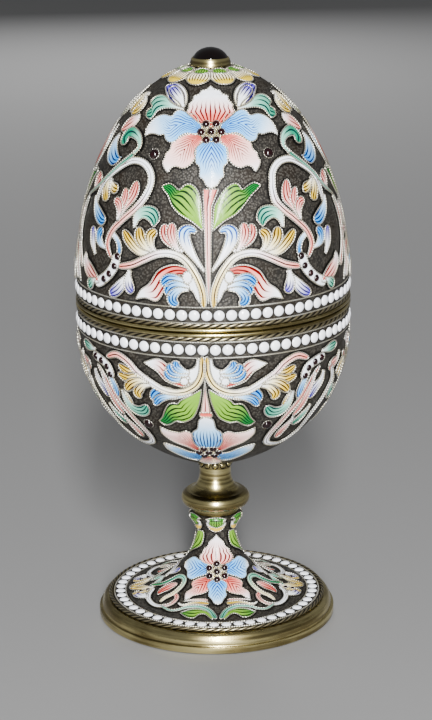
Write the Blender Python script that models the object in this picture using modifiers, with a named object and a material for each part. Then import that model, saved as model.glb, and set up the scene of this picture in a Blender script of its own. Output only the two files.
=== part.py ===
"""Enamelled egg on a pedestal foot: a lift-off lid over a hollow cup, a gilt knop and a trumpet foot.

Metres, +Z up. The origin is the centre of the underside, where the egg stands. Heights build up from there:
base rim, pedestal, knop, cup, joint of the two halves, lid and finial.
"""

import math

import bmesh
import bpy

# Clearance between pieces that meet face to face
GAP = 0.0003

# The egg: both halves share one radius at the joint
EGG_RADIUS = 0.0282
SHELL_WALL = 0.0015
LID_HEIGHT = 0.04865
CUP_DEPTH = 0.03585
# The outline of a half is radius * (1 - share ** taper) ** (1 / fullness), share being the way to its pole
LID_TAPER, LID_FULLNESS = 2.15, 2.0
CUP_TAPER, CUP_FULLNESS = 2.84, 1.50

# The band at the joint: gilt rims, twisted wires and the rows of white beads
RIM_RISE = 0.0003
RIM_HEIGHT = 0.00065
NECK_STEP = 0.0008
ROPE_DIAMETER = 0.0006
BEAD_STRIP_HEIGHT = 0.0030
BEADS_PER_ROW = 72
BEAD_DIAMETER = 0.00224
BEAD_RISE = 0.0010
TONGUE_HEIGHT = 0.0030
TONGUE_WALL = 0.0008

# The finial: a gilt collet holding a round-topped stone
COLLET_RADIUS = 0.00416
COLLET_HEIGHT = 0.0014
COLLET_WALL = 0.0004
COLLET_FLOOR = 0.0005
STONE_HEIGHT = 0.0028

# The knop between egg and foot: a bell on a round moulding
NECK_RADIUS = 0.00333
NECK_HEIGHT = 0.0026
BELL_HEIGHT = 0.0040
BELL_RADIUS = 0.0061
KNOP_MINOR_RADIUS = 0.00165
KNOP_RADIUS = 0.00725
KNOP_SPREAD_HEIGHT = 0.0014

# The pedestal: a hollow trumpet with a flat edge
PEDESTAL_HEIGHT = 0.0222
PEDESTAL_TOP_RADIUS = 0.00485
WAIST_RADIUS = 0.0042
WAIST_Z = 0.0178
FIELD_RADIUS = 0.01915
FIELD_Z = 0.0048
TRUMPET_CURVE = 0.6
PEDESTAL_SIDE_WALL = 0.0010
PLATE_THICKNESS = 0.0008
FOOT_BEADS = 51
FOOT_BEAD_DIAMETER = 0.0020
FOOT_BEAD_RISE = 0.0006
FOOT_STRIP_WIDTH = 0.0024

# The base rim: a plain flange under an ovolo, and a ledge inside that carries the pedestal
FLANGE_HEIGHT = 0.0015
FLANGE_STEP = 0.00055
OVOLO_HEIGHT = 0.0024
OVOLO_SPREAD = 0.0013
ROPE_SEAT_WIDTH = 0.0009
LEDGE_Z = 0.0030
LEDGE_WIDTH = 0.00145

# Sides of the round pieces and of the small ones
ROUND_SIDES = 36
KNOP_SIDES = 24
FINIAL_SIDES = 20
WIRE_SECTION_SIDES = 6
SHARP_ANGLE = math.radians(35)
MERGE_DISTANCE = 0.000001

# Heights that follow from the sizes above
KNOP_BOTTOM_Z = PEDESTAL_HEIGHT + GAP
KNOP_HEIGHT = KNOP_SPREAD_HEIGHT + 2 * KNOP_MINOR_RADIUS + BELL_HEIGHT + NECK_HEIGHT
CUP_SEAT_Z = KNOP_BOTTOM_Z + KNOP_HEIGHT + GAP
CUP_SEAT_RADIUS = NECK_RADIUS + GAP
LID_SEAT_RADIUS = COLLET_RADIUS + GAP


def egg_share(radius, taper, fullness):
    """How far towards its pole a half of the egg has this outer radius."""
    return (1 - (radius / EGG_RADIUS) ** fullness) ** (1 / taper)


JOINT_Z = CUP_SEAT_Z + CUP_DEPTH * egg_share(CUP_SEAT_RADIUS, CUP_TAPER, CUP_FULLNESS)
LID_SEAT_Z = JOINT_Z + LID_HEIGHT * egg_share(LID_SEAT_RADIUS, LID_TAPER, LID_FULLNESS)

# Distances from the joint, the same above and below it
HALF_GAP = GAP / 2
RIM_FAR = HALF_GAP + RIM_HEIGHT
ROPE_NEAR = RIM_FAR + GAP
ROPE_MIDDLE = ROPE_NEAR + ROPE_DIAMETER / 2
STRIP_NEAR = ROPE_NEAR + ROPE_DIAMETER + GAP
STRIP_MIDDLE = STRIP_NEAR + BEAD_STRIP_HEIGHT / 2
BAND_FAR = STRIP_NEAR + BEAD_STRIP_HEIGHT + GAP
BAND_NECK_RADIUS = EGG_RADIUS - NECK_STEP
MOUTH_RADIUS = EGG_RADIUS - SHELL_WALL
RIM_RADIUS = EGG_RADIUS + RIM_RISE

# The foot's flat edge: the bead strip lies on it, and the base rim goes round it
PLATE_RADIUS = FIELD_RADIUS + 2 * GAP + FOOT_STRIP_WIDTH
BASE_SEAT_RADIUS = PLATE_RADIUS + GAP


def clear_scene():
    for obj in list(bpy.data.objects):
        bpy.data.objects.remove(obj, do_unlink=True)


def material(name, colour, roughness, metallic):
    """A plain finish: colour, roughness and metallic value."""
    made = bpy.data.materials.new(name)
    made.use_nodes = True
    shader = made.node_tree.nodes["Principled BSDF"]
    shader.inputs["Base Color"].default_value = (*colour, 1)
    shader.inputs["Roughness"].default_value = roughness
    shader.inputs["Metallic"].default_value = metallic
    made.diffuse_color = (*colour, 1)
    return made


def place(name, mesh, finish, collection):
    """Puts a finished mesh in the collection as a named piece, smooth on its round sides."""
    mesh.name = name
    mesh.materials.clear()
    mesh.materials.append(finish)
    mesh.shade_smooth()
    mesh.set_sharp_from_angle(angle=SHARP_ANGLE)
    obj = bpy.data.objects.new(name, mesh)
    collection.objects.link(obj)
    return obj


def turned(name, profile, sides, finish, collection, ring=False):
    """Turns a profile of (radius, height) points about the Z axis. Its outer side runs downwards.

    A ring's profile is a closed loop. Any other profile starts and ends on the axis.
    """
    last = len(profile) - 1
    edges = [(i, i + 1) for i in range(last)]
    if ring:
        edges.append((last, 0))
    outline = bpy.data.meshes.new(name + "_outline")
    outline.from_pydata([(radius, 0, z) for radius, z in profile], edges, [])
    guide = bpy.data.objects.new(name + "_guide", outline)
    collection.objects.link(guide)
    screw = guide.modifiers.new("Turn", "SCREW")
    screw.axis = "Z"
    screw.steps = screw.render_steps = sides
    screw.use_merge_vertices = True
    screw.merge_threshold = MERGE_DISTANCE
    graph = bpy.context.evaluated_depsgraph_get()
    mesh = bpy.data.meshes.new_from_object(guide.evaluated_get(graph))
    bpy.data.objects.remove(guide)
    bpy.data.meshes.remove(outline)
    return place(name, mesh, finish, collection)


def swept_ring(name, section_at, stations, finish, collection):
    """Closes a ring through changing sections. section_at(station) gives (radius, height) points.

    The points of a section go anticlockwise when radius runs right and height up.
    """
    bm = bmesh.new()
    loops = []
    for station in range(stations):
        angle = math.tau * station / stations
        c, s = math.cos(angle), math.sin(angle)
        loops.append([bm.verts.new((r * c, r * s, z)) for r, z in section_at(station)])
    for station, loop in enumerate(loops):
        following = loops[(station + 1) % stations]
        for i in range(len(loop)):
            j = (i + 1) % len(loop)
            bm.faces.new((loop[i], following[i], following[j], loop[j]))
    bmesh.ops.recalc_face_normals(bm, faces=bm.faces)
    mesh = bpy.data.meshes.new(name)
    bm.to_mesh(mesh)
    bm.free()
    return place(name, mesh, finish, collection)


def egg_curve(radius, height, taper, fullness, first_share, last_share, steps):
    """Points (radius, height above the joint) on the outline of a half, from one share to another."""
    first = math.asin(first_share ** (taper / 2))
    last = math.asin(last_share ** (taper / 2))
    points = []
    for step in range(steps + 1):
        angle = first + (last - first) * step / steps
        share = math.sin(angle) ** (2 / taper)
        points.append((radius * math.cos(angle) ** (2 / fullness), height * share))
    return points


def half_shell(height, taper, fullness, seat_radius, outer_steps, inner_steps):
    """The profile of a hollow half, heights counted from the joint: seat, outside, neck, mouth and inside."""
    seat_share = egg_share(seat_radius, taper, fullness)
    outside = egg_curve(EGG_RADIUS, height, taper, fullness, BAND_FAR / height, seat_share, outer_steps)
    inner_height = height - SHELL_WALL
    mouth_share = ROPE_NEAR / inner_height
    inside = egg_curve(MOUTH_RADIUS, inner_height, taper, fullness, mouth_share, 1, inner_steps)
    inside[-1] = (0, inner_height)
    neck = [(BAND_NECK_RADIUS, BAND_FAR), (BAND_NECK_RADIUS, ROPE_NEAR)]
    return [(0, outside[-1][1])] + outside[::-1] + neck + inside


def lid_profile():
    """Upper half of the egg, from the finial's seat down the outside and back up the inside."""
    points = half_shell(LID_HEIGHT, LID_TAPER, LID_FULLNESS, LID_SEAT_RADIUS, 8, 4)
    return [(radius, JOINT_Z + rise) for radius, rise in points]


def cup_profile():
    """Lower half of the egg: the same walk, turned over."""
    points = half_shell(CUP_DEPTH, CUP_TAPER, CUP_FULLNESS, CUP_SEAT_RADIUS, 7, 4)
    return [(radius, JOINT_Z - rise) for radius, rise in points][::-1]


def lid_rim_profile():
    """Gilt half-round that closes the lid's mouth."""
    low, high = JOINT_Z + HALF_GAP, JOINT_Z + RIM_FAR
    round_off = RIM_HEIGHT / 2
    return [
        (RIM_RADIUS - round_off, high),
        (RIM_RADIUS, (low + high) / 2),
        (RIM_RADIUS - round_off, low),
        (MOUTH_RADIUS, low),
        (MOUTH_RADIUS, high),
    ]


def cup_rim_profile():
    """Gilt half-round on the cup's mouth, with the upright tongue that the lid slips over."""
    low, high = JOINT_Z - RIM_FAR, JOINT_Z - HALF_GAP
    round_off = RIM_HEIGHT / 2
    tongue_outer = MOUTH_RADIUS - GAP
    tongue_inner = tongue_outer - TONGUE_WALL
    return [
        (tongue_outer, JOINT_Z + TONGUE_HEIGHT),
        (tongue_outer, high),
        (RIM_RADIUS - round_off, high),
        (RIM_RADIUS, (low + high) / 2),
        (RIM_RADIUS - round_off, low),
        (tongue_inner, low),
        (tongue_inner, JOINT_Z + TONGUE_HEIGHT),
    ]


def bead_row(name, middle_z, finish, collection):
    """A row of white beads round the egg, each swelling out of the strip that they share."""
    back = BAND_NECK_RADIUS + GAP

    def section(station):
        swell = 1.0 if station % 2 else 0.45
        half = swell * BEAD_DIAMETER / 2
        front = back + BEAD_RISE * (0.5 + 0.5 * swell)
        flat = half * 0.55
        return [
            (back, middle_z - half),
            (front, middle_z - flat),
            (front, middle_z + flat),
            (back, middle_z + half),
        ]

    return swept_ring(name, section, 2 * BEADS_PER_ROW, finish, collection)


def foot_bead_row(name, finish, collection):
    """The same row lying on the pedestal's flat edge."""
    middle = FIELD_RADIUS + GAP + FOOT_STRIP_WIDTH / 2
    bottom = FIELD_Z - FOOT_BEAD_RISE + GAP

    def section(station):
        swell = 1.0 if station % 2 else 0.45
        half = swell * FOOT_BEAD_DIAMETER / 2
        top = bottom + FOOT_BEAD_RISE * (0.5 + 0.5 * swell)
        flat = half * 0.55
        return [
            (middle - half, bottom),
            (middle + half, bottom),
            (middle + flat, top),
            (middle - flat, top),
        ]

    return swept_ring(name, section, 2 * FOOT_BEADS, finish, collection)


def wire_profile(middle_radius, middle_z):
    """Round section of a twisted wire, taken across its strands."""
    points = []
    for side in range(WIRE_SECTION_SIDES):
        angle = math.pi / 2 - math.tau * side / WIRE_SECTION_SIDES
        radius = middle_radius + ROPE_DIAMETER / 2 * math.cos(angle)
        points.append((radius, middle_z + ROPE_DIAMETER / 2 * math.sin(angle)))
    return points


def collet_profile():
    """Shallow cup that holds the finial's stone."""
    bottom = LID_SEAT_Z + GAP
    lip = bottom + COLLET_HEIGHT
    inner = COLLET_RADIUS - COLLET_WALL
    return [
        (0, bottom + COLLET_FLOOR),
        (inner, bottom + COLLET_FLOOR),
        (inner, lip),
        (COLLET_RADIUS - COLLET_WALL / 2, lip),
        (COLLET_RADIUS, bottom + COLLET_HEIGHT / 2),
        (COLLET_RADIUS, bottom),
        (0, bottom),
    ]


def stone_profile():
    """Round-topped stone standing in the collet."""
    bottom = LID_SEAT_Z + GAP + COLLET_FLOOR + GAP
    radius = COLLET_RADIUS - COLLET_WALL - GAP
    steps = 4
    points = []
    for step in range(steps + 1):
        angle = math.pi / 2 * (1 - step / steps)
        points.append((radius * math.cos(angle), bottom + STONE_HEIGHT * math.sin(angle)))
    points[0] = (0, bottom + STONE_HEIGHT)
    return points + [(0, bottom)]


def knop_profile():
    """Neck, bell, round moulding and the spread that stands on the pedestal."""
    moulding_low = KNOP_BOTTOM_Z + KNOP_SPREAD_HEIGHT
    moulding_high = moulding_low + 2 * KNOP_MINOR_RADIUS
    bell_top = moulding_high + BELL_HEIGHT
    top = bell_top + NECK_HEIGHT
    points = [(0, top), (NECK_RADIUS, top)]
    bell_steps = 3
    for step in range(bell_steps + 1):
        angle = math.pi / 2 * step / bell_steps
        radius = BELL_RADIUS - (BELL_RADIUS - NECK_RADIUS) * math.cos(angle)
        points.append((radius, bell_top - BELL_HEIGHT * math.sin(angle)))
    round_steps = 4
    for step in range(1, round_steps):
        angle = math.pi * (0.5 - step / round_steps)
        radius = KNOP_RADIUS - KNOP_MINOR_RADIUS * (1 - math.cos(angle))
        points.append((radius, moulding_low + KNOP_MINOR_RADIUS * (1 + math.sin(angle))))
    points += [
        (PEDESTAL_TOP_RADIUS + GAP, moulding_low),
        (PEDESTAL_TOP_RADIUS, KNOP_BOTTOM_Z),
        (0, KNOP_BOTTOM_Z),
    ]
    return points


def trumpet(shift_radius, shift_z, steps):
    """Points down the trumpet's concave side, moved in or down by the wall."""
    power = 2 / TRUMPET_CURVE
    points = []
    for step in range(steps + 1):
        angle = math.pi / 2 * step / steps
        radius = WAIST_RADIUS + (FIELD_RADIUS - WAIST_RADIUS) * math.sin(angle) ** power
        z = FIELD_Z + (WAIST_Z - FIELD_Z) * math.cos(angle) ** power
        points.append((radius - shift_radius, z - shift_z))
    return points


def pedestal_profile():
    """Enamelled trumpet: top, side, the lower edge under the beads, and the hollow underneath."""
    edge_z = FIELD_Z - FOOT_BEAD_RISE
    underside_z = LEDGE_Z + GAP
    inside = trumpet(PEDESTAL_SIDE_WALL, PLATE_THICKNESS, 4)[::-1]
    return (
        [(0, PEDESTAL_HEIGHT), (PEDESTAL_TOP_RADIUS, PEDESTAL_HEIGHT)]
        + trumpet(0, 0, 7)
        + [(FIELD_RADIUS, edge_z), (PLATE_RADIUS, edge_z), (PLATE_RADIUS, underside_z)]
        + [(FIELD_RADIUS - PEDESTAL_SIDE_WALL, underside_z)]
        + inside
        + [(0, WAIST_Z - PLATE_THICKNESS)]
    )


def base_rim_profile():
    """Gilt foot ring: rope seat, ovolo, plain flange, and a ledge inside that carries the pedestal."""
    seat_z = FLANGE_HEIGHT + OVOLO_HEIGHT
    inner_radius = BASE_SEAT_RADIUS - LEDGE_WIDTH
    ovolo_top = BASE_SEAT_RADIUS + ROPE_SEAT_WIDTH
    base_radius = ovolo_top + OVOLO_SPREAD + FLANGE_STEP
    ovolo_steps = 3
    points = [(BASE_SEAT_RADIUS, seat_z)]
    for step in range(ovolo_steps + 1):
        angle = math.pi / 2 * step / ovolo_steps
        radius = ovolo_top + OVOLO_SPREAD * math.sin(angle)
        points.append((radius, FLANGE_HEIGHT + OVOLO_HEIGHT * math.cos(angle)))
    points += [
        (base_radius, FLANGE_HEIGHT),
        (base_radius, 0),
        (inner_radius, 0),
        (inner_radius, LEDGE_Z),
        (BASE_SEAT_RADIUS, LEDGE_Z),
    ]
    return points


def build():
    clear_scene()
    parts = bpy.data.collections.new("enamelled_egg")
    bpy.context.scene.collection.children.link(parts)

    enamel = material("silver_and_enamel", (0.42, 0.44, 0.45), 0.35, 0.3)
    white = material("white_enamel", (0.88, 0.89, 0.90), 0.2, 0.0)
    gilt = material("silver_gilt", (0.78, 0.66, 0.36), 0.25, 1.0)
    wire = material("twisted_wire", (0.50, 0.46, 0.36), 0.35, 1.0)
    garnet = material("dark_stone", (0.05, 0.005, 0.01), 0.05, 0.0)

    band_wire_radius = BAND_NECK_RADIUS + GAP + ROPE_DIAMETER / 2
    foot_wire_radius = BASE_SEAT_RADIUS + ROPE_DIAMETER / 2
    foot_wire_z = FLANGE_HEIGHT + OVOLO_HEIGHT + GAP + ROPE_DIAMETER / 2
    foot_wire = wire_profile(foot_wire_radius, foot_wire_z)
    cup_wire = wire_profile(band_wire_radius, JOINT_Z - ROPE_MIDDLE)
    lid_wire = wire_profile(band_wire_radius, JOINT_Z + ROPE_MIDDLE)

    turned("base_rim", base_rim_profile(), ROUND_SIDES, gilt, parts, ring=True)
    turned("foot_twisted_wire", foot_wire, ROUND_SIDES, wire, parts, ring=True)
    turned("pedestal", pedestal_profile(), ROUND_SIDES, enamel, parts)
    foot_bead_row("foot_bead_row", white, parts)
    turned("knop", knop_profile(), KNOP_SIDES, gilt, parts)

    turned("cup", cup_profile(), ROUND_SIDES, enamel, parts)
    bead_row("cup_bead_row", JOINT_Z - STRIP_MIDDLE, white, parts)
    turned("cup_twisted_wire", cup_wire, ROUND_SIDES, wire, parts, ring=True)
    turned("cup_rim", cup_rim_profile(), ROUND_SIDES, gilt, parts, ring=True)

    turned("lid_rim", lid_rim_profile(), ROUND_SIDES, gilt, parts, ring=True)
    turned("lid_twisted_wire", lid_wire, ROUND_SIDES, wire, parts, ring=True)
    bead_row("lid_bead_row", JOINT_Z + STRIP_MIDDLE, white, parts)
    turned("lid", lid_profile(), ROUND_SIDES, enamel, parts)

    turned("finial_collet", collet_profile(), FINIAL_SIDES, gilt, parts)
    turned("finial_stone", stone_profile(), FINIAL_SIDES, garnet, parts)


build()
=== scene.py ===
import math

import bpy
import numpy as np
from mathutils import Matrix, Vector


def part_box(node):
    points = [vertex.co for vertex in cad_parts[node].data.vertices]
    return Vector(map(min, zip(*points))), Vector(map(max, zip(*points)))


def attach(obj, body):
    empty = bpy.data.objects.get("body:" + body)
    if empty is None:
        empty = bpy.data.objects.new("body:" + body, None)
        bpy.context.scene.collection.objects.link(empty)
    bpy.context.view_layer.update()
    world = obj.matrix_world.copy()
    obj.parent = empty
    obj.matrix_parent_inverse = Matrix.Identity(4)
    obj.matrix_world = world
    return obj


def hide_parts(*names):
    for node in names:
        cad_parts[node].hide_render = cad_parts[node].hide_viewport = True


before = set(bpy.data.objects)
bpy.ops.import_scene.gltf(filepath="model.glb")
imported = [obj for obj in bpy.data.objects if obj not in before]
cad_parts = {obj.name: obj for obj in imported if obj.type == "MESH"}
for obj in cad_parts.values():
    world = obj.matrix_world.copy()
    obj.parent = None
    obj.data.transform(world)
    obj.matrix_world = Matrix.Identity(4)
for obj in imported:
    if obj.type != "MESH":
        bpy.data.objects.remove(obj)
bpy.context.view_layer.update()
mm = 0.001  # every size below is in millimetres
nearAxis = 0.02  # solid pieces start this far from the axis


# The photograph's view, which also says where each traced mark lies on the egg

photoView = {
    "widthPx": 432,
    "heightPx": 720,
    "focalPx": 2288.2,
    "place": (0.44, -459.84, 189.64),
    "lookDown": 16.242,
    "lean": 0.651,
    "sensor": 36.0,
    "nearest": 400,
    "furthest": 520,
}


def makeCamera():
    turn = Matrix.Rotation(math.radians(90 - photoView["lookDown"]), 4, "X")
    turn = turn @ Matrix.Rotation(math.radians(-photoView["lean"]), 4, "Z")
    data = bpy.data.cameras.new("photoCamera")
    data.sensor_width = photoView["sensor"]
    data.lens = photoView["focalPx"] * photoView["sensor"] / photoView["heightPx"]
    data.clip_start = 0.01
    camera = bpy.data.objects.new("photoCamera", data)
    bpy.context.scene.collection.objects.link(camera)
    camera.matrix_world = Matrix.Translation(Vector(photoView["place"]) * mm) @ turn
    bpy.context.scene.camera = camera
    return np.array(turn.to_3x3())


cameraTurn = makeCamera()
print("camera placed")


# Turned surfaces: an outline of (radius, height) points, and what lies on it

egg = {
    "radius": 28.2,
    "wall": 1.5,
    "lid": {"side": 1, "height": 48.65, "taper": 2.15, "fullness": 2.0, "seat": 4.46},
    "cup": {"side": -1, "height": 35.85, "taper": 2.84, "fullness": 1.5, "seat": 3.63},
    "seamHeight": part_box("cup_rim")[1].z / mm - 3.0,
    "bandFar": 5.25,
    "neckNear": 1.1,
    "traceNear": 0.6,
    "neckStep": 0.8,
    "widest": 28.5,
    "fullLift": 0.61,
}


def halfOutline(half, near, steps, inward=0, seated=True):
    # the lid or the cup from near the seam to its seat or its pole, as (radius, height)
    shape = egg[half]
    taper, fullness = shape["taper"], shape["fullness"]
    radius, height = egg["radius"] - inward, shape["height"] - inward
    end = (1 - (shape["seat"] / radius) ** fullness) ** (1 / taper) if seated else 1
    angles = np.linspace(math.asin((near / height) ** (taper / 2)), math.asin(end ** (taper / 2)), steps)
    share = np.sin(angles) ** (2 / taper)
    across = np.maximum(np.cos(angles), 0) ** (2 / fullness)
    return np.stack([radius * across, egg["seamHeight"] + shape["side"] * height * share], axis=1)


def makeSkin(outline, widest=1000.0, wireShare=1.0):
    # outline runs downwards with its outer side away from the axis. lifts shrink near the widest radius, and
    # wireShare scales the wires of the cells on it
    outline = np.asarray(outline, float)
    step = np.diff(outline, axis=0)
    length = np.hypot(step[:, 0], step[:, 1])
    faceNormal = np.stack([-step[:, 1], step[:, 0]], axis=1) / length[:, None]
    pointNormal = np.vstack([faceNormal[:1], faceNormal[:-1] + faceNormal[1:], faceNormal[-1:]])
    pointNormal /= np.linalg.norm(pointNormal, axis=1)[:, None]
    return {"outline": outline, "step": step, "length": length, "normal": pointNormal, "widest": widest,
            "wireShare": wireShare}


def settle(skin, points, lift=0.0):
    # puts points on the nearest place of the skin, raised by lift, and gives their normals
    radius = np.hypot(points[:, 0], points[:, 1])
    flat = np.stack([radius, points[:, 2]], axis=1)
    start, step = skin["outline"][:-1], skin["step"]
    away = flat[:, None, :] - start[None]
    share = np.clip((away * step).sum(2) / (skin["length"] ** 2), 0, 1)
    gap = np.linalg.norm(away - share[..., None] * step, axis=2)
    best = gap.argmin(axis=1)
    t = share[np.arange(len(points)), best][:, None]
    onLine = start[best] + t * step[best]
    normal = skin["normal"][best] * (1 - t) + skin["normal"][best + 1] * t
    normal /= np.linalg.norm(normal, axis=1)[:, None]
    shrink = np.clip((skin["widest"] - onLine[:, :1]) / egg["fullLift"], 0, 1)
    onLine = onLine + normal * np.reshape(lift, (-1, 1)) * shrink
    direction = points[:, :2] / np.maximum(radius, 1e-6)[:, None]
    placed = np.column_stack([direction * onLine[:, :1], onLine[:, 1]])
    return placed, np.column_stack([direction * normal[:, :1], normal[:, 1]])


def seenOn(skin, marks):
    # where the photograph's pixels (x, y) meet the skin's near side
    found = []
    origin = np.array(photoView["place"])
    for x, y in marks:
        aim = np.array([x - photoView["widthPx"] / 2, photoView["heightPx"] / 2 - y, -photoView["focalPx"]])
        aim = cameraTurn @ aim / photoView["focalPx"]
        best = None
        for (r0, z0), (r1, z1) in zip(skin["outline"][:-1], skin["outline"][1:]):
            if abs(z1 - z0) < 1e-6:
                times = [(z0 - origin[2]) / aim[2]]
            else:
                slope = (r1 - r0) / (z1 - z0)
                level = r0 + slope * (origin[2] - z0)
                a = aim[0] ** 2 + aim[1] ** 2 - (slope * aim[2]) ** 2
                b = origin[0] * aim[0] + origin[1] * aim[1] - level * slope * aim[2]
                c = origin[0] ** 2 + origin[1] ** 2 - level ** 2
                inside = b * b - a * c
                if inside < 0:
                    continue
                times = [(-b - math.sqrt(inside)) / a, (-b + math.sqrt(inside)) / a]
            for t in times:
                p = origin + t * aim
                radius = math.hypot(p[0], p[1])
                onPiece = min(z0, z1) - 1e-6 <= p[2] <= max(z0, z1) + 1e-6
                onPiece = onPiece and min(r0, r1) - 1e-3 <= radius <= max(r0, r1) + 1e-3
                inwards = (p[0] * aim[0] + p[1] * aim[1]) / max(radius, 1e-6)
                onPiece = onPiece and (z0 - z1) * inwards + (r1 - r0) * aim[2] < 0
                if onPiece and (best is None or t < best[0]):
                    best = (t, p)
        if best is None:
            # past the silhouette: the nearest point of the ray to the skin
            along = np.linspace(photoView["nearest"], photoView["furthest"], 241)[:, None] * aim + origin
            placed, _ = settle(skin, along)
            best = (0, placed[np.linalg.norm(placed - along, axis=1).argmin()])
        found.append(best[1])
    return np.array(found)


def runOf(points):
    # how far along a line each of its points lies
    return np.concatenate([[0], np.cumsum(np.linalg.norm(np.diff(points, axis=0), axis=1))])


def smoothPath(points, count):
    # a smooth line through the points, with samples closer together near its ends
    points = np.asarray(points, float)
    padded = np.vstack([2 * points[0] - points[1], points, 2 * points[-1] - points[-2]])
    fine = []
    for i in range(len(points) - 1):
        p0, p1, p2, p3 = padded[i:i + 4]
        for t in np.linspace(0, 1, 16, endpoint=False):
            fine.append(0.5 * (2 * p1 + (p2 - p0) * t + (2 * p0 - 5 * p1 + 4 * p2 - p3) * t * t
                               + (3 * p1 - p0 - 3 * p2 + p3) * t ** 3))
    fine = np.array(fine + [points[-1]])
    run = runOf(fine)
    even = 0.5 - 0.5 * np.cos(np.linspace(0, math.pi, count))
    wanted = run[-1] * (0.6 * even + 0.4 * np.linspace(0, 1, count))
    path = np.stack([np.interp(wanted, run, fine[:, k]) for k in range(fine.shape[1])], axis=1)
    return path, wanted / run[-1]


# Piles of mesh: patches are gathered, repeated round the egg and made into one piece

def newPile():
    return {"points": [], "faces": [], "marks": {}, "count": 0}


def addToPile(pile, points, faces, **marks):
    pile["points"].append(points)
    pile["faces"] += [tuple(i + pile["count"] for i in face) for face in faces]
    for name, values in marks.items():
        pile["marks"].setdefault(name, []).append(np.broadcast_to(values, (len(points), 4)))
    pile["count"] += len(points)


def stacked(pile):
    # all of a pile's points and marks as whole arrays
    marks = {name: np.vstack(values) for name, values in pile["marks"].items()}
    return np.vstack(pile["points"]), marks


def turned(points, degrees):
    c, s = math.cos(math.radians(degrees)), math.sin(math.radians(degrees))
    return np.asarray(points) @ np.array([[c, s, 0], [-s, c, 0], [0, 0, 1]])


def mirrored(points, lean):
    # points on the other side of the panel's middle line, which leans by a few degrees
    middle = np.radians(np.interp(points[:, 2], lean[0], lean[1]))
    c, s = np.cos(2 * middle), np.sin(2 * middle)
    x, y = -points[:, 0], points[:, 1]
    return np.column_stack([c * x - s * y, s * x + c * y, points[:, 2]])


def mirrorPile(pile, lean):
    # adds a copy mirrored left to right
    made = newPile()
    points, marks = stacked(pile)
    addToPile(made, points, pile["faces"], **marks)
    addToPile(made, mirrored(points, lean), [face[::-1] for face in pile["faces"]], **marks)
    return made


def turnPile(pile, times, first=0):
    # copies evenly spaced round the axis, the first one turned by so many degrees
    made = newPile()
    points, marks = stacked(pile)
    for k in range(times):
        addToPile(made, turned(points, first + 360 * k / times), pile["faces"], **marks)
    return made


def joinPiles(*piles):
    made = newPile()
    for pile in piles:
        if pile["count"]:
            points, marks = stacked(pile)
            addToPile(made, points, pile["faces"], **marks)
    return made


def pileToPiece(name, pile, material, replaces=()):
    mesh = bpy.data.meshes.new(name)
    points, marks = stacked(pile)
    mesh.from_pydata((points * mm).tolist(), [], pile["faces"])
    for markName, values in marks.items():
        attribute = mesh.color_attributes.new(markName, "FLOAT_COLOR", "POINT")
        attribute.data.foreach_set("color", values.astype(np.float32).ravel())
    mesh.materials.append(material)
    mesh.shade_smooth()
    piece = bpy.data.objects.new(name, mesh)
    bpy.context.scene.collection.objects.link(piece)
    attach(piece, "root")
    if replaces:
        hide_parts(*replaces)
    triangles = sum(len(face) - 2 for face in pile["faces"])
    print(name, triangles, "triangles")
    return piece


def gridFaces(rows, columns, closedRows=False, closedColumns=False):
    faces = []
    for i in range(rows if closedRows else rows - 1):
        for j in range(columns if closedColumns else columns - 1):
            a, b = i * columns + j, i * columns + (j + 1) % columns
            up = ((i + 1) % rows) * columns
            faces.append((a, b, up + (j + 1) % columns, up + j))
    return faces


def turnedPiece(name, outline, material, replaces, closed=False, inner=None, sides=192):
    # outline runs down the outer side. inner is (first outline row inside, its material)
    outline = np.asarray(outline, float)
    angles = np.linspace(0, math.tau, sides, endpoint=False)
    points = np.array([(r * math.cos(a), r * math.sin(a), z) for r, z in outline for a in angles])
    faces = gridFaces(len(outline), sides, closedRows=closed, closedColumns=True)
    faces = [face[::-1] for face in faces]
    pile = newPile()
    addToPile(pile, points, faces)
    piece = pileToPiece(name, pile, material, replaces)
    if inner:
        piece.data.materials.append(inner[1])
        for face in piece.data.polygons[inner[0] * sides:]:
            face.material_index = 1
    piece.data.set_sharp_from_angle(angle=math.radians(40))
    return piece


# Materials

colours = {
    "white": (236, 240, 248),
    "milk": (244, 230, 176),
    "pink": (222, 112, 100),
    "palePink": (240, 184, 174),
    "blush": (246, 212, 208),
    "red": (84, 3, 3),
    "rose": (176, 54, 44),
    "sky": (34, 136, 214),
    "softBlue": (90, 174, 242),
    "paleBlue": (150, 202, 244),
    "petalBlue": (10, 46, 124),
    "deepBlue": (0, 14, 72),
    "green": (108, 156, 38),
    "leafGreen": (10, 98, 36),
    "darkGreen": (0, 26, 8),
    "teal": (0, 126, 94),
    "paleTeal": (122, 190, 168),
    "darkTeal": (0, 36, 36),
    "yellow": (206, 170, 44),
    "lemon": (208, 178, 34),
    "brown": (34, 14, 4),
    "violet": (82, 68, 186),
    "darkViolet": (14, 4, 62),
}


def shade(name):
    # a named colour as linear light
    values = np.array(colours[name]) / 255
    return np.append(np.where(values <= 0.04045, values / 12.92, ((values + 0.055) / 1.055) ** 2.4), 1)


def linkNodes(tree, *pairs):
    for source, target in pairs:
        tree.links.new(source, target)


def addNode(tree, kind, output, inputs, **settings):
    # a shader node with its settings and with its inputs set or linked. gives one output
    node = tree.nodes.new("ShaderNode" + kind)
    for name, value in settings.items():
        setattr(node, name, value)
    for key, value in inputs.items():
        if isinstance(value, bpy.types.NodeSocket):
            tree.links.new(value, node.inputs[key])
        elif value is not None:
            node.inputs[key].default_value = value
    return node.outputs[output]


def mathNode(tree, operation, first, second=None):
    return addNode(tree, "Math", 0, {0: first, 1: second}, operation=operation)


def rampNode(tree, value, low, high, toLow=0.0, toHigh=1.0):
    inputs = {"Value": value, "From Min": low, "From Max": high, "To Min": toLow, "To Max": toHigh}
    return addNode(tree, "MapRange", "Result", inputs, interpolation_type="SMOOTHSTEP")


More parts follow.
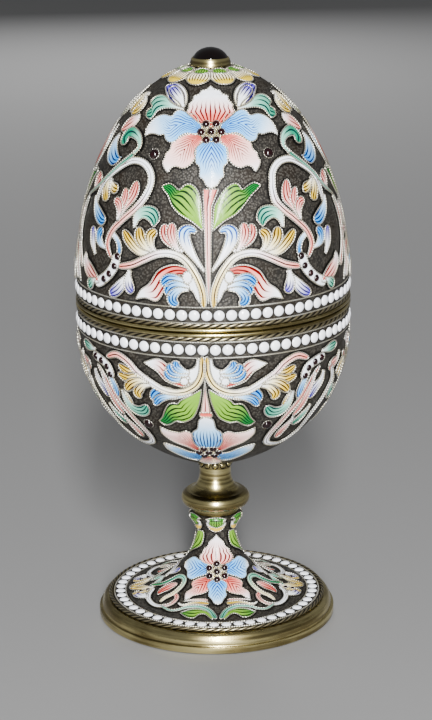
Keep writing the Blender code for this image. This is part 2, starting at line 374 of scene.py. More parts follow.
def mixColour(tree, factor, first, second, blend="MIX"):
    inputs = {"Factor": factor, "A": first, "B": second}
    return addNode(tree, "Mix", "Result", inputs, data_type="RGBA", blend_type=blend)


def noiseNode(tree, place, scale, detail=2.0, roughness=0.5):
    inputs = {"Vector": place, "Scale": scale, "Detail": detail, "Roughness": roughness}
    return addNode(tree, "TexNoise", "Fac", inputs)


def cellsNode(tree, place, scale):
    return addNode(tree, "TexVoronoi", "Distance", {"Vector": place, "Scale": scale})


def bumpNode(tree, height, distance, before=None):
    return addNode(tree, "Bump", "Normal", {"Height": height, "Distance": distance, "Normal": before})


def attributeNode(tree, name):
    node = tree.nodes.new("ShaderNodeAttribute")
    node.attribute_name = name
    return node.outputs


def layNode(tree):
    # the numbers that a piece keeps in its lay attribute
    parts = tree.nodes.new("ShaderNodeSeparateColor")
    tree.links.new(attributeNode(tree, "lay")["Color"], parts.inputs["Color"])
    return parts.outputs


def startMaterial(name, colour, roughness, metallic=0.0, coat=0.0):
    material = bpy.data.materials.new(name)
    material.use_nodes = True
    tree = material.node_tree
    shader = tree.nodes["Principled BSDF"]
    shader.inputs["Base Color"].default_value = tuple(colour)
    shader.inputs["Roughness"].default_value = roughness
    shader.inputs["Metallic"].default_value = metallic
    shader.inputs["Coat Weight"].default_value = coat
    shader.inputs["Coat Roughness"].default_value = 0.08
    place = tree.nodes.new("ShaderNodeTexCoord").outputs["Object"]
    return material, tree, shader, place


def makeTarnishGroup():
    # old gilding: worn patches, darker film and fine polishing marks
    group = bpy.data.node_groups.new("oldGilding", "ShaderNodeTree")
    sockets = (("Place", "INPUT", "Vector"), ("Metal", "INPUT", "Color"), ("Film", "INPUT", "Color"),
               ("Patch Size", "INPUT", "Float"), ("Colour", "OUTPUT", "Color"),
               ("Roughness", "OUTPUT", "Float"), ("Height", "OUTPUT", "Float"))
    for name, way, kind in sockets:
        group.interface.new_socket(name, in_out=way, socket_type="NodeSocket" + kind)
    given, out = group.nodes.new("NodeGroupInput"), group.nodes.new("NodeGroupOutput")
    place = given.outputs["Place"]
    patches = noiseNode(group, place, given.outputs["Patch Size"], 4)
    squash = (0.35, 0.35, 9.0)
    lathe = addNode(group, "VectorMath", "Vector", {0: place, 1: squash}, operation="MULTIPLY")
    streaks = noiseNode(group, lathe, 130, 4, 0.6)
    spread = mathNode(group, "ADD", mathNode(group, "MULTIPLY", streaks, 0.6),
                      mathNode(group, "MULTIPLY", patches, 0.4))
    film = rampNode(group, spread, 0.42, 0.58, 0.0, 0.95)
    fine = noiseNode(group, place, 2600, 3, 0.6)
    colour = mixColour(group, film, given.outputs["Metal"], given.outputs["Film"])
    rough = rampNode(group, patches, 0.3, 0.75, 0.14, 0.34)
    linkNodes(group, (colour, out.inputs["Colour"]), (rough, out.inputs["Roughness"]),
              (fine, out.inputs["Height"]))
    return group


tarnishGroup = makeTarnishGroup()


def makeGilt(name, metal, film, patchSize, fineDepth=0.000012):
    material, tree, shader, place = startMaterial(name, (*metal, 1), 0.2, metallic=1.0)
    old = tree.nodes.new("ShaderNodeGroup")
    old.node_tree = tarnishGroup
    old.inputs["Metal"].default_value = (*metal, 1)
    old.inputs["Film"].default_value = (*film, 1)
    old.inputs["Patch Size"].default_value = patchSize
    linkNodes(tree, (place, old.inputs["Place"]), (old.outputs["Colour"], shader.inputs["Base Color"]),
              (old.outputs["Roughness"], shader.inputs["Roughness"]))
    linkNodes(tree, (bumpNode(tree, old.outputs["Height"], fineDepth), shader.inputs["Normal"]))
    return material


def makeGround():
    # silver ground between the cells: punched all over, dark in the dents and beside the wires, where the
    # darkening is tarnish and painted shade
    metal = (0.050, 0.046, 0.039)
    material, tree, shader, place = startMaterial("stippledSilver", (*metal, 1), 0.5, metallic=0.3)
    shader.inputs["Specular IOR Level"].default_value = 0.15
    dots = cellsNode(tree, place, 2300)
    dents = rampNode(tree, dots, 0.2, 0.62)
    drift = noiseNode(tree, place, 160, 4)
    darks = (0.015, 0.014, 0.0125, 1), (0.014, 0.0105, 0.007, 1)
    dark = mixColour(tree, rampNode(tree, drift, 0.35, 0.7), *darks)
    colour = mixColour(tree, dents, (*metal, 1), dark)
    # lay's first number marks the strips beside the cells and the rings at the drops' feet: tarnish and
    # painted shade, darkest at the wires
    beside = rampNode(tree, layNode(tree)["Red"], 0.02, 0.6)
    colour = mixColour(tree, beside, colour, (0.003, 0.0028, 0.0025, 1))
    linkNodes(tree, (colour, shader.inputs["Base Color"]),
              (bumpNode(tree, dots, 0.00007), shader.inputs["Normal"]),
              (rampNode(tree, drift, 0.3, 0.7, 0.4, 0.6), shader.inputs["Roughness"]))
    return material


def makeEnamel():
    # each cell carries its tint, its brush lines and their direction as colour attributes
    material, tree, shader, place = startMaterial("shadedEnamel", (0.8, 0.8, 0.8, 1), 0.26, coat=0.15)
    shader.inputs["Specular IOR Level"].default_value = 0.2
    tint, ink = attributeNode(tree, "tint"), attributeNode(tree, "ink")
    phase = mathNode(tree, "MULTIPLY", layNode(tree)["Red"], math.tau)
    wander = noiseNode(tree, place, 900, 2)
    phase = mathNode(tree, "ADD", phase, mathNode(tree, "MULTIPLY", wander, 1.2))
    wave = mathNode(tree, "COSINE", phase)
    strength = ink["Alpha"]
    low = mathNode(tree, "SUBTRACT", 0.9, mathNode(tree, "MULTIPLY", strength, 0.85))
    high = mathNode(tree, "ADD", low, 0.28)
    line = mathNode(tree, "MULTIPLY", rampNode(tree, wave, low, high), rampNode(tree, strength, 0.0, 0.5))
    cloud = rampNode(tree, noiseNode(tree, place, 420, 3), 0.3, 0.75, 0.90, 1.0)
    base = mixColour(tree, 1.0, tint["Color"], cloud, "MULTIPLY")
    colour = mixColour(tree, line, base, ink["Color"])
    pit = rampNode(tree, cellsNode(tree, place, 1300), 0.05, 0.16)
    waves = bumpNode(tree, noiseNode(tree, place, 700, 2), 0.00008)
    linkNodes(tree, (colour, shader.inputs["Base Color"]),
              (bumpNode(tree, pit, 0.00002, before=waves), shader.inputs["Normal"]))
    return material


def makeCellWire():
    # fine twisted wire: lay holds its length in mm and the way round it. the grooves between the strands are
    # painted shade
    material, tree, shader, place = startMaterial("cellWire", (0.75, 0.68, 0.5, 1), 0.38, metallic=0.8)
    lay = layNode(tree)
    turn = mathNode(tree, "ADD", mathNode(tree, "MULTIPLY", lay["Red"], 1.9), lay["Green"])
    strand = mathNode(tree, "COSINE", mathNode(tree, "MULTIPLY", turn, math.tau))
    crest = rampNode(tree, strand, -0.5, 0.3)
    age = rampNode(tree, noiseNode(tree, place, 240, 3), 0.35, 0.7)
    bright = mixColour(tree, age, (0.92, 0.90, 0.82, 1), (0.74, 0.68, 0.50, 1))
    # dark between the crests: painted shade in the grooves of the twist
    linkNodes(tree, (mixColour(tree, crest, (0.13, 0.12, 0.10, 1), bright), shader.inputs["Base Color"]),
              (bumpNode(tree, strand, 0.00003), shader.inputs["Normal"]))
    return material


def makeRopeGilt():
    # rope of twisted wire: bright on the strands' crests, with painted shade, black, between them, as lay
    # says
    crest = (0.32, 0.28, 0.17)
    material, tree, shader, place = startMaterial("bandRope", (*crest, 1), 0.32, metallic=0.9)
    high = rampNode(tree, layNode(tree)["Red"], 0.76, 1.0)
    wear = rampNode(tree, noiseNode(tree, place, 300, 3), 0.35, 0.7)
    metal = mixColour(tree, wear, (*crest, 1), (0.26, 0.22, 0.13, 1))
    # black where lay is low: painted shade between the strands
    linkNodes(tree, (mixColour(tree, high, (0.012, 0.010, 0.008, 1), metal), shader.inputs["Base Color"]),
              (bumpNode(tree, noiseNode(tree, place, 2600, 2), 0.00002), shader.inputs["Normal"]))
    return material


def makeWhiteEnamel():
    white = (0.88, 0.89, 0.93, 1)
    material, tree, shader, place = startMaterial("whiteEnamel", white, 0.18, coat=0.8)
    cloud = rampNode(tree, noiseNode(tree, place, 500, 3), 0.35, 0.75)
    linkNodes(tree, (mixColour(tree, cloud, white, (0.80, 0.82, 0.88, 1)), shader.inputs["Base Color"]),
              (bumpNode(tree, noiseNode(tree, place, 900, 2), 0.00005), shader.inputs["Normal"]))
    return material


def makeStone(name, colour, depth):
    material, tree, shader, place = startMaterial(name, (*colour, 1), 0.06)
    glow = rampNode(tree, noiseNode(tree, place, depth, 2), 0.4, 0.8)
    linkNodes(tree, (mixColour(tree, glow, (*colour, 1), (colour[0] * 3, colour[1], colour[2], 1)),
                     shader.inputs["Base Color"]),
              (bumpNode(tree, noiseNode(tree, place, 400, 1), 0.00002), shader.inputs["Normal"]))
    shader.inputs["IOR"].default_value = 1.5
    return material


groundMetal = makeGround()
enamel = makeEnamel()
cellWire = makeCellWire()
whiteEnamel = makeWhiteEnamel()
gilt = makeGilt("oldGilt", (0.66, 0.57, 0.27), (0.20, 0.155, 0.06), 90)
granuleGilt = makeGilt("granuleGilt", (0.86, 0.76, 0.50), (0.50, 0.42, 0.20), 400)
insideGilt = makeGilt("insideGilt", (0.76, 0.58, 0.26), (0.46, 0.32, 0.12), 60, 0.00002)
bandWire = makeRopeGilt()
garnet = makeStone("garnet", (0.0006, 0.0002, 0.0002), 200)
darkStone = makeStone("darkStone", (0.005, 0.0015, 0.002), 600)
print("materials made")


# Cells of enamel, each bounded by its wire

cell = {
    "rim": 0.10,
    "dome": 0.13,
    "step": 0.42,
    "across": 9,
    "level": 0.11,
    "closeTip": 1.8,
    "wireRadius": 0.155,
    "wireLift": 0.17,
    "wireStep": 0.36,
    "wireSides": 5,
    "shadeWidth": 0.72,
    "shadeStep": 0.8,
    "shadeLift": 0.012,
    "shadeLayer": 0.004,
}


def ease(value):
    value = np.clip(value, 0, 1)
    return value * value * (3 - 2 * value)


def blunt(t):
    return np.sqrt(1 - np.abs(2 * t - 1) ** 12)


def roundTip(t, start, power=2):
    return np.sqrt(1 - np.clip((t - start) / (1 - start), 0, 1) ** power)


widthForms = {
    "band": blunt,
    "taper": lambda t: blunt(t) * (1 - 0.6 * t),
    "flare": lambda t: blunt(t) * (0.4 + 0.6 * t),
    "frond": lambda t: (0.3 + 0.7 * ease(t / 0.62)) * roundTip(t, 0.72),
    "crescent": lambda t: np.sin(math.pi * np.clip(t, 0, 1)) ** 0.65,
    "scallop": lambda t: (0.62 + 0.38 * ease(t / 0.6)) * roundTip(t, 0.42, 2.2),
    "cup": lambda t: np.sqrt(np.clip(1 - t ** 2.2, 0, 1)),
    "drop": lambda t: np.sqrt(1 - (1 - np.clip(t / 0.16, 0, 1)) ** 2) * (1 - 0.78 * ease((t - 0.16) / 0.84)),
    "oval": lambda t: np.sqrt(np.clip(1 - (2 * t - 1) ** 2, 0, 1)),
}

# tints: colours along the cell from its root. ink: colour of its brush lines, strongest at inkFrom and gone
# at inkTo, or as strong along the cell as inkAt says
paints = {
    "pinkFrond": dict(tints=[(0, "white"), (0.4, "palePink"), (1, "pink")], ink="red", inkFrom=0.8,
                      inkTo=0.1, lines=3.2),
    "redRoot": dict(tints=[(0, "rose"), (0.35, "pink"), (0.62, "palePink"), (0.85, "white")], ink="red",
                    inkFrom=0.4, inkTo=0.9, lines=2.8),
    "blueFrond": dict(tints=[(0, "white"), (0.35, "paleBlue"), (0.75, "sky")], ink="deepBlue", inkFrom=0.9,
                      inkTo=0.15, lines=3.2),
    "yellowFrond": dict(tints=[(0, "white"), (0.35, "milk"), (0.75, "yellow")], ink="brown", inkFrom=0.8,
                        inkTo=0.1, lines=3),
    "tealFrond": dict(tints=[(0, "white"), (0.4, "paleTeal"), (1, "teal")], ink="darkTeal", inkFrom=0.9,
                      inkTo=0.2, lines=3.2),
    "tealHead": dict(tints=[(0.35, "teal"), (0.6, "paleTeal")], ink="darkTeal", inkFrom=0.1, inkTo=0.9,
                     lines=2),
    "violetFrond": dict(tints=[(0.45, "white"), (0.92, "violet")], ink="darkViolet", inkFrom=0.9, inkTo=0.2,
                        lines=3.2),
    "budPetal": dict(tints=[(0, "milk"), (0.6, "white"), (0.85, "violet")], ink="darkViolet", inkFrom=0.6,
                     inkTo=-0.3, lines=3),
    "broadLeaf": dict(tints=[(0.55, "green"), (0.8, "leafGreen")], ink="darkGreen", inkFrom=0.85,
                      inkTo=0.05, lines=5),
    "greenLeaf": dict(tints=[(0.6, "green"), (1, "leafGreen")], ink="darkGreen", inkFrom=1.0, inkTo=-0.4,
                      lines=3),
    "greenRibbon": dict(tints=[(0, "teal"), (0.4, "paleTeal")], ink="darkTeal", inkFrom=0.0, inkTo=2.0,
                        lines=2),
    "mainRibbon": dict(tints=[(0, "yellow"), (0.3, "milk"), (0.55, "white"), (0.8, "palePink"), (1, "pink")],
                       ink="brown",
                       inkAt=[(0, 1), (0.3, 0.9), (0.45, 0.4), (0.6, 0.35), (0.75, 0.9), (1, 1)], lines=2),
    "loopRibbon": dict(tints=[(0, "pink"), (0.3, "palePink"), (0.42, "white")], ink="brown",
                       inkAt=[(0, 1), (0.34, 0.9), (0.46, 0.4), (0.6, 0.3), (0.75, 0.6), (1, 0.8)],
                       lines=2),
    "farRibbon": dict(tints=[(0, "paleTeal"), (0.25, "pink"), (1, "rose")], ink="red", inkFrom=1.0,
                      inkTo=-0.2, lines=2),
    "paleCurl": dict(tints=[(0.5, "white"), (0.75, "paleBlue"), (0.92, "softBlue")], ink="petalBlue",
                     inkFrom=0.95, inkTo=0.35, lines=3),
    "stem": dict(tints=[(0, "pink"), (0.4, "palePink")], ink="red", inkFrom=0.0, inkTo=2.0, lines=2),
    "redPetal": dict(tints=[(0, "rose"), (0.3, "pink"), (0.5, "blush"), (0.7, "white")], ink="red",
                     inkFrom=0.2, inkTo=0.75, lines=10),
    "bluePetal": dict(tints=[(0, "sky"), (0.35, "softBlue"), (0.7, "paleBlue"), (0.92, "white")],
                      ink="petalBlue", inkFrom=0.2, inkTo=0.92, lines=2, veins=9, slant=5),
    "blueRays": dict(tints=[(0, "sky"), (0.25, "softBlue"), (0.6, "paleBlue"), (1, "white")],
                     ink="deepBlue", inkFrom=0.2, inkTo=0.8, lines=9),
    "pinkPetal": dict(tints=[(0, "rose"), (0.22, "pink"), (0.5, "palePink"), (0.8, "blush"), (1, "white")],
                      ink="red", inkFrom=0.15, inkTo=0.92, lines=2, veins=9, slant=5),
    "redRays": dict(tints=[(0, "pink"), (0.3, "palePink"), (0.6, "blush"), (1, "white")], ink="red",
                    inkFrom=0.2, inkTo=0.95, lines=8),
    "blueShort": dict(tints=[(0, "sky"), (0.4, "softBlue"), (0.8, "paleBlue"), (1, "white")],
                      ink="petalBlue", inkFrom=0.2, inkTo=1.1, lines=2, veins=7, slant=3),
    "pinkShort": dict(tints=[(0, "rose"), (0.3, "pink"), (0.7, "palePink"), (1, "white")], ink="red",
                      inkFrom=0.1, inkTo=1.1, lines=2, veins=7, slant=3),
    "calyx": dict(tints=[(0, "white"), (0.6, "milk"), (0.72, "lemon")], ink="brown",
                  inkAt=[(0.72, 1), (0.82, 0)], lines=8),
    "calyxRim": dict(tints=[(0.55, "white"), (0.7, "yellow")], ink="brown", inkAt=[(0, 0)], lines=1),
    "greenLoop": dict(tints=[(0, "leafGreen"), (0.3, "teal"), (0.55, "paleTeal"), (0.8, "milk")],
                      ink="darkGreen", inkFrom=0.0, inkTo=1.6, lines=2),
    "redInLoop": dict(tints=[(0, "rose"), (0.5, "pink"), (1, "palePink")], ink="red", inkFrom=0.2,
                      inkTo=1.5, lines=3),
    "calyxGreen": dict(tints=[(0, "leafGreen"), (0.6, "green"), (1, "leafGreen")], ink="darkGreen",
                       inkFrom=0.8, inkTo=-0.5, lines=6),
    "plainWhite": dict(tints=[(0, "white")], ink="sky", inkAt=[(0, 0)], lines=1),
    "plainRed": dict(tints=[(0, "rose"), (1, "pink")], ink="red", inkAt=[(0, 0)], lines=1),
}


def brush(paint, t, v):
    # the three colour attributes of points at t along and v across a cell
    given = paints[paint]
    stops = np.array([stop for stop, _ in given["tints"]])
    hues = np.array([shade(hue) for _, hue in given["tints"]])
    tint = np.stack([np.interp(t, stops, hues[:, k]) for k in range(4)], axis=1)
    ink = np.tile(shade(given["ink"]), (len(t), 1))
    if "inkAt" in given:
        ink[:, 3] = np.interp(t, [at for at, _ in given["inkAt"]], [amount for _, amount in given["inkAt"]])
    else:
        ink[:, 3] = ease((t - given["inkTo"]) / (given["inkFrom"] - given["inkTo"]))
    phase = v * given["lines"] / 2
    if "veins" in given:
        phase = t * given["veins"] - np.abs(v) * given["slant"]
        ink[:, 3] *= 1 - ease((np.abs(v) - 0.5) / 0.42)
    return tint, ink, np.stack([phase, t, v, np.ones(len(t))], axis=1)


def evenLoop(skin, loop, least, step, lift=0.0):
    # even places on a closed line: how far along they lie, the places, their normals and the way across
    loop = np.vstack([loop, loop[:1]])
    run = runOf(loop)
    keep = np.concatenate([[True], np.diff(run) > 1e-4])
    loop, run = loop[keep], run[keep]
    wanted = np.linspace(0, run[-1], max(least, int(run[-1] / step)), endpoint=False)
    line = np.stack([np.interp(wanted, run, loop[:, k]) for k in range(3)], axis=1)
    line, normal = settle(skin, line, lift)
    ahead = np.roll(line, -1, axis=0) - np.roll(line, 1, axis=0)
    ahead /= np.maximum(np.linalg.norm(ahead, axis=1), 1e-9)[:, None]
    return wanted, line, normal, np.cross(normal, ahead)


def addWire(pile, skin, loop, lift, radius, step=cell["wireStep"]):
    # a closed tube that follows the skin. loop holds places on it
    run, line, normal, side = evenLoop(skin, loop, 6, step, lift)
    count, sides = len(line), cell["wireSides"]
    angles = np.arange(sides) * math.tau / sides + math.pi / 2
    ring = side[:, None, :] * np.cos(angles)[None, :, None]
    ring = ring + normal[:, None, :] * np.sin(angles)[None, :, None]
    points = (line[:, None, :] + radius * ring).reshape(-1, 3)
    lay = np.column_stack([np.repeat(run, sides), np.tile(np.arange(sides) / sides, count),
                           np.zeros(count * sides), np.ones(count * sides)])
    faces = [face[::-1] for face in gridFaces(count, sides, closedRows=True, closedColumns=True)]
    addToPile(pile, points, faces, lay=lay)


def addShade(pile, skin, loop):
    # dark tarnish and painted shade on the ground beside a cell, fading outwards. strips that cross lie at
    # different heights
    _, line, _, side = evenLoop(skin, loop, 8, cell["shadeStep"])
    side = side * cell["shadeWidth"]
    pile["shades"] = pile.get("shades", 0) + 1
    lift = cell["shadeLift"] + cell["shadeLayer"] * (pile["shades"] % 6)
    points = np.stack([line - side, line, line + side], axis=1).reshape(-1, 3)
    points, _ = settle(skin, points, lift)
    dark = np.tile([0, 1, 0], len(line))
    lay = np.column_stack([dark, dark, dark, np.ones(len(dark))])
    faces = [face[::-1] for face in gridFaces(len(line), 3, closedRows=True)]
    addToPile(pile, points, faces, lay=lay)


def addCell(piles, skin, left, right, paint, level=0):
    # enamel between two edges that run from root to tip, with wire round it
    columns = cell["across"]
    across = np.linspace(-1, 1, columns)
    rows = len(left)
    run = runOf((left + right) / 2)
    t = run / run[-1]
    share = (across + 1) / 2
    points = left[:, None, :] * (1 - share)[None, :, None] + right[:, None, :] * share[None, :, None]
    lift = cell["rim"] + cell["dome"] * (1 - across ** 2) + level * cell["level"]
    points, _ = settle(skin, points.reshape(-1, 3), np.tile(lift, rows))
    tt, vv = np.repeat(t, columns), np.tile(across, rows)
    tint, ink, lay = brush(paint, tt, vv)
    addToPile(piles["enamel"], points, gridFaces(rows, columns), tint=tint, ink=ink, lay=lay)
    loop = np.vstack([left, right[::-1]])
    wireLift = cell["wireLift"] + level * cell["level"]
    addWire(piles["wire"], skin, loop, wireLift, cell["wireRadius"] * skin["wireShare"])
    # a dark strip on the ground round the cell: tarnish and painted shade
    addShade(piles["shade"], skin, loop)


def traced(skin, marks, squeeze=1):
    # places of the marks, with their azimuths scaled by squeeze for the motif on the side
    points = seenOn(skin, marks)
    radius = np.hypot(points[:, 0], points[:, 1])
    azimuth = np.arctan2(points[:, 0], -points[:, 1]) * squeeze
    return np.column_stack([radius * np.sin(azimuth), -radius * np.cos(azimuth), points[:, 2]])


def addRibbon(piles, skin, places, width, form, paint, level=0):
    # a cell along a line on the skin. width is its greatest width in mm
    count = 10 + int(runOf(places)[-1] / cell["step"])
    path, t = smoothPath(places, count)
    path, normal = settle(skin, path)
    ahead = np.gradient(path, axis=0)
    ahead /= np.linalg.norm(ahead, axis=1)[:, None]
    side = np.cross(ahead, normal) * (widthForms[form](t) * width / 2)[:, None]
    addCell(piles, skin, path - side, path + side, paint, level)


def addLeaf(piles, skin, left, right, paint):
    # a cell between two edges on the skin
    count = 12 + int(runOf(left)[-1] / cell["step"])
    addCell(piles, skin, smoothPath(left, count)[0], smoothPath(right, count)[0], paint)


def addMiddleLeaf(piles, skin, leftMarks, paint, lean):
    # a cell on the panel's middle line: its right edge mirrors the left
    left = seenOn(skin, leftMarks)
    right = mirrored(left, lean)
    for end in (0, -1):
        if np.linalg.norm(left[end] - right[end]) < cell["closeTip"]:
            left[end] = (left[end] + right[end]) / 2
    path, _ = smoothPath(left, 12 + int(runOf(left)[-1] / cell["step"]))
    addCell(piles, skin, path, mirrored(path, lean), paint, level=1)


def squareTo(normal):
    # two directions square to the normal and to each other
    side = np.cross(normal, (0, 0, 1.0) if abs(normal[2]) < 0.9 else (1.0, 0, 0))
    side /= np.linalg.norm(side)
    return side, np.cross(normal, side)


def addDome(pile, centre, normal, radius, height, rings=4, sides=14):
    # a round-topped drop that stands on the surface
    normal = np.asarray(normal) / np.linalg.norm(normal)
    side, other = squareTo(normal)
    points = []
    for ring in range(rings):
        angle = math.pi / 2 * ring / rings
        for k in range(sides):
            turn = math.tau * k / sides
            out = radius * math.cos(angle) * (math.cos(turn) * side + math.sin(turn) * other)
            points.append(centre + out + normal * height * math.sin(angle))
    points.append(centre + normal * height)
    faces = gridFaces(rings, sides, closedColumns=True)
    top = rings * sides
    faces += [(top - sides + k, top - sides + (k + 1) % sides, top) for k in range(sides)]
    addToPile(pile, np.array(points), faces)


def addRing(pile, skin, centre, normal, radius, wire, lift):
    side, other = squareTo(normal)
    turns = np.linspace(0, math.tau, 20, endpoint=False)
    loop = np.array([centre + radius * (math.cos(a) * side + math.sin(a) * other) for a in turns])
    addWire(pile, skin, loop, lift, wire)


stone = {
    "lift": 0.1,
    "dome": 0.8,
    "ringGap": 0.08,
    "ringWire": 0.07,
    "ringLift": 0.14,
    "bossLift": 0.05,
    "bossEdge": 0.5,
    "bossHeight": 0.28,
    "granulesAt": (0.56, 1.05),
    "granuleLift": 0.3,
    "granuleRadius": 0.27,
    "granuleHeight": 0.3,
}


def addStone(piles, skin, place, radius, level):
    # a dark stone in its ring
    rise = level * cell["level"]
    (centre,), (normal,) = settle(skin, np.array([place]), stone["lift"] + rise)
    addDome(piles["stone"], centre, normal, radius, radius * stone["dome"])
    addRing(piles["wire"], skin, centre, normal, radius + stone["ringGap"], stone["ringWire"],
            stone["ringLift"] + rise)


def onMiddle(skin, height, lean):
    # the skin's point on the panel's middle line at this height
    line = skin["outline"]
    radius = np.interp(height, line[::-1, 1], line[::-1, 0])
    middle = math.radians(np.interp(height, lean[0], lean[1]))
    return np.array([radius * math.sin(middle), -radius * math.cos(middle), height])


def addFlowerHeart(piles, skin, lean, mark, reach, radius, firstTurn):
    # seven dark stones on a low boss, with gilt granules between them
    centre = onMiddle(skin, seenOn(skin, [mark])[0][2], lean)
    (centre,), (normal,) = settle(skin, centre[None])
    right = np.array([-centre[1], centre[0], 0]) / np.hypot(centre[0], centre[1])
    up = np.cross(normal, right)
    up *= np.sign(up[2])

    def around(far, k):
        turn = math.radians(firstTurn) + math.tau * k / 6
        return centre + far * (math.cos(turn) * right + math.sin(turn) * up)

    (at,), (out,) = settle(skin, centre[None], stone["bossLift"])
    addDome(piles["gilt"], at, out, reach + stone["bossEdge"], stone["bossHeight"], 3, 20)
    for spot in [centre] + [around(reach, k) for k in range(6)]:
        addStone(piles, skin, spot, radius, level=3)
    for k in range(6):
        for far in stone["granulesAt"]:
            (at,), (out,) = settle(skin, around(far * reach, k + 0.5)[None], stone["granuleLift"])
            addDome(piles["gilt"], at, out, stone["granuleRadius"], stone["granuleHeight"], 3, 8)


def newPiles():
    return {kind: newPile() for kind in ("enamel", "wire", "stone", "gilt", "shade")}


panel = {
    "count": 2,
    "sideTurn": 90,
    "sideSqueeze": 0.6,
}


def finishPanel(name, halves, middles, lean, first=0):
    # mirrors the half panel, adds what stands on its middle line, and repeats it front and back
    kinds = {
        "enamel": ("Cells", enamel, "silver_and_enamel"),
        "wire": ("CellWires", cellWire, "twisted_wire"),
        "stone": ("Stones", darkStone, "dark_stone"),
        "gilt": ("Granules", granuleGilt, "silver_gilt"),
        # the shade pile's strips are tarnish and painted shade beside the cells
        "shade": ("Oxide", groundMetal, "silver_and_enamel"),
    }
    for kind, (word, material, slotName) in kinds.items():
        half = mirrorPile(halves[kind], lean) if halves[kind]["count"] else halves[kind]
        whole = joinPiles(half, middles[kind])
        if whole["count"]:
            pileToPiece(name + word, turnPile(whole, panel["count"], first), material)


def addTraced(halves, middles, skin, lean, leaves, ribbons, middleLeaves, squeeze=1):
    for paint, left, right in leaves.values():
        addLeaf(halves, skin, traced(skin, left, squeeze), traced(skin, right, squeeze), paint)
    for paint, form, width, level, line in ribbons.values():
        addRibbon(halves, skin, traced(skin, line, squeeze), width, form, paint, level)
    for paint, left in middleLeaves.values():
        addMiddleLeaf(middles, skin, left, paint, lean)


def makePanels(name, skin, lean, leaves, ribbons, middleLeaves, stones, heart):
    # the front's ornament. stones: x, y and radius. heart: mark, reach, stone radius, first stone's angle
    halves, middles = newPiles(), newPiles()
    addTraced(halves, middles, skin, lean, leaves, ribbons, middleLeaves)
    for x, y, radius in stones.values():
        (place,) = seenOn(skin, [(x, y)])
        addStone(halves, skin, place, radius, level=2)
    addFlowerHeart(middles, skin, lean, *heart)
    finishPanel(name, halves, middles, lean)


def makeSides(name, skin, lean, leaves, ribbons, middleLeaves, mainMarks):
    # the sides' ornament, which the photograph hides, made of the front's own forms drawn narrower. of the
    # main ribbon it has the first mainMarks marks
    halves, middles = newPiles(), newPiles()
    ribbons = {**ribbons, "mainRibbon": (*ribbons["mainRibbon"][:4], ribbons["mainRibbon"][4][:mainMarks])}
    addTraced(halves, middles, skin, lean, leaves, ribbons, middleLeaves, panel["sideSqueeze"])
    sideLean = (lean[0], tuple(panel["sideSqueeze"] * angle for angle in lean[1]))
    for pile in middles.values():
        pile["points"] = [turned(points, sideLean[1][1] - lean[1][1]) for points in pile["points"]]
    finishPanel(name, halves, middles, sideLean, panel["sideTurn"])


def makeScallops(names, skin, ribbons, times, first=0):
    # a ring of scallops of stacked cells. ribbons: places, width, form and paint, the lowest first
    piles = newPiles()
    for level, ribbon in enumerate(ribbons):
        addRibbon(piles, skin, *ribbon, level)
    # the shade pile holds the dark strips beside the cells: tarnish and painted shade
    for name, kind, material in zip(names, ("enamel", "wire", "shade"), (enamel, cellWire, groundMetal)):
        pileToPiece(name, turnPile(piles[kind], times, first), material)


def chosen(forms, *names):
    return {name: forms[name] for name in names}


# The egg's two halves

lidOutline = halfOutline("lid", egg["bandFar"], 90)
cupOutline = halfOutline("cup", egg["bandFar"], 80)


def traceSkin(half):
    # the same outline carried on to the seam, because some marks reach the band
    line = halfOutline(half, egg["traceNear"], 100)
    return makeSkin(line[::-egg[half]["side"]], egg["widest"])


lidSkin, cupSkin = traceSkin("lid"), traceSkin("cup")


def makeHalfShells():
    seam, neck = egg["seamHeight"], egg["radius"] - egg["neckStep"]
    for half, outline in (("lid", lidOutline), ("cup", cupOutline)):
        side = egg[half]["side"]
        inside = halfOutline(half, egg["neckNear"], 60, egg["wall"], seated=False)
        line = [(nearAxis, outline[-1][1])] + outline[::-1].tolist()
        line += [(neck, seam + side * egg["bandFar"]), (neck, seam + side * egg["neckNear"])]
        line += inside[:-1].tolist() + [(nearAxis, inside[-1][1])]
        shell = turnedPiece(half + "Shell", line, groundMetal, [half],
                            inner=(len(outline) + 2, insideGilt))
        if side < 0:
            shell.data.flip_normals()


makeHalfShells()
print("egg halves made")


# The band at the joint: rims, twisted wires and bead rows

band = {
    "rimRadius": 28.5,
    "rimNear": 0.15,
    "rimFar": 0.85,
    "ropeMiddle": 1.4,
    "ropeThickness": 1.06,
    "ropeStrands": 3,
    "ropePitch": 5.6,
    "stripNear": 1.95,
    "stripFar": 5.15,
    "stripRadius": 28.02,
    "beadMiddle": 3.5,
    "beads": 72,
    "beadRadius": 1.06,
    "beadHeight": 0.46,
    "lidFirstBead": 2.37,
    "cupFirstBead": 0.71,
    "tongueHeight": 3.0,
    "tongueWall": 0.8,
    "clearance": 0.3,
    "stripDepth": 0.6,
    "beadLift": 0.12,
    "edgeWire": 0.13,
    "edgeLift": 0.04,
    "edgeStep": 0.5,
    "ropeInset": 0.33,
}


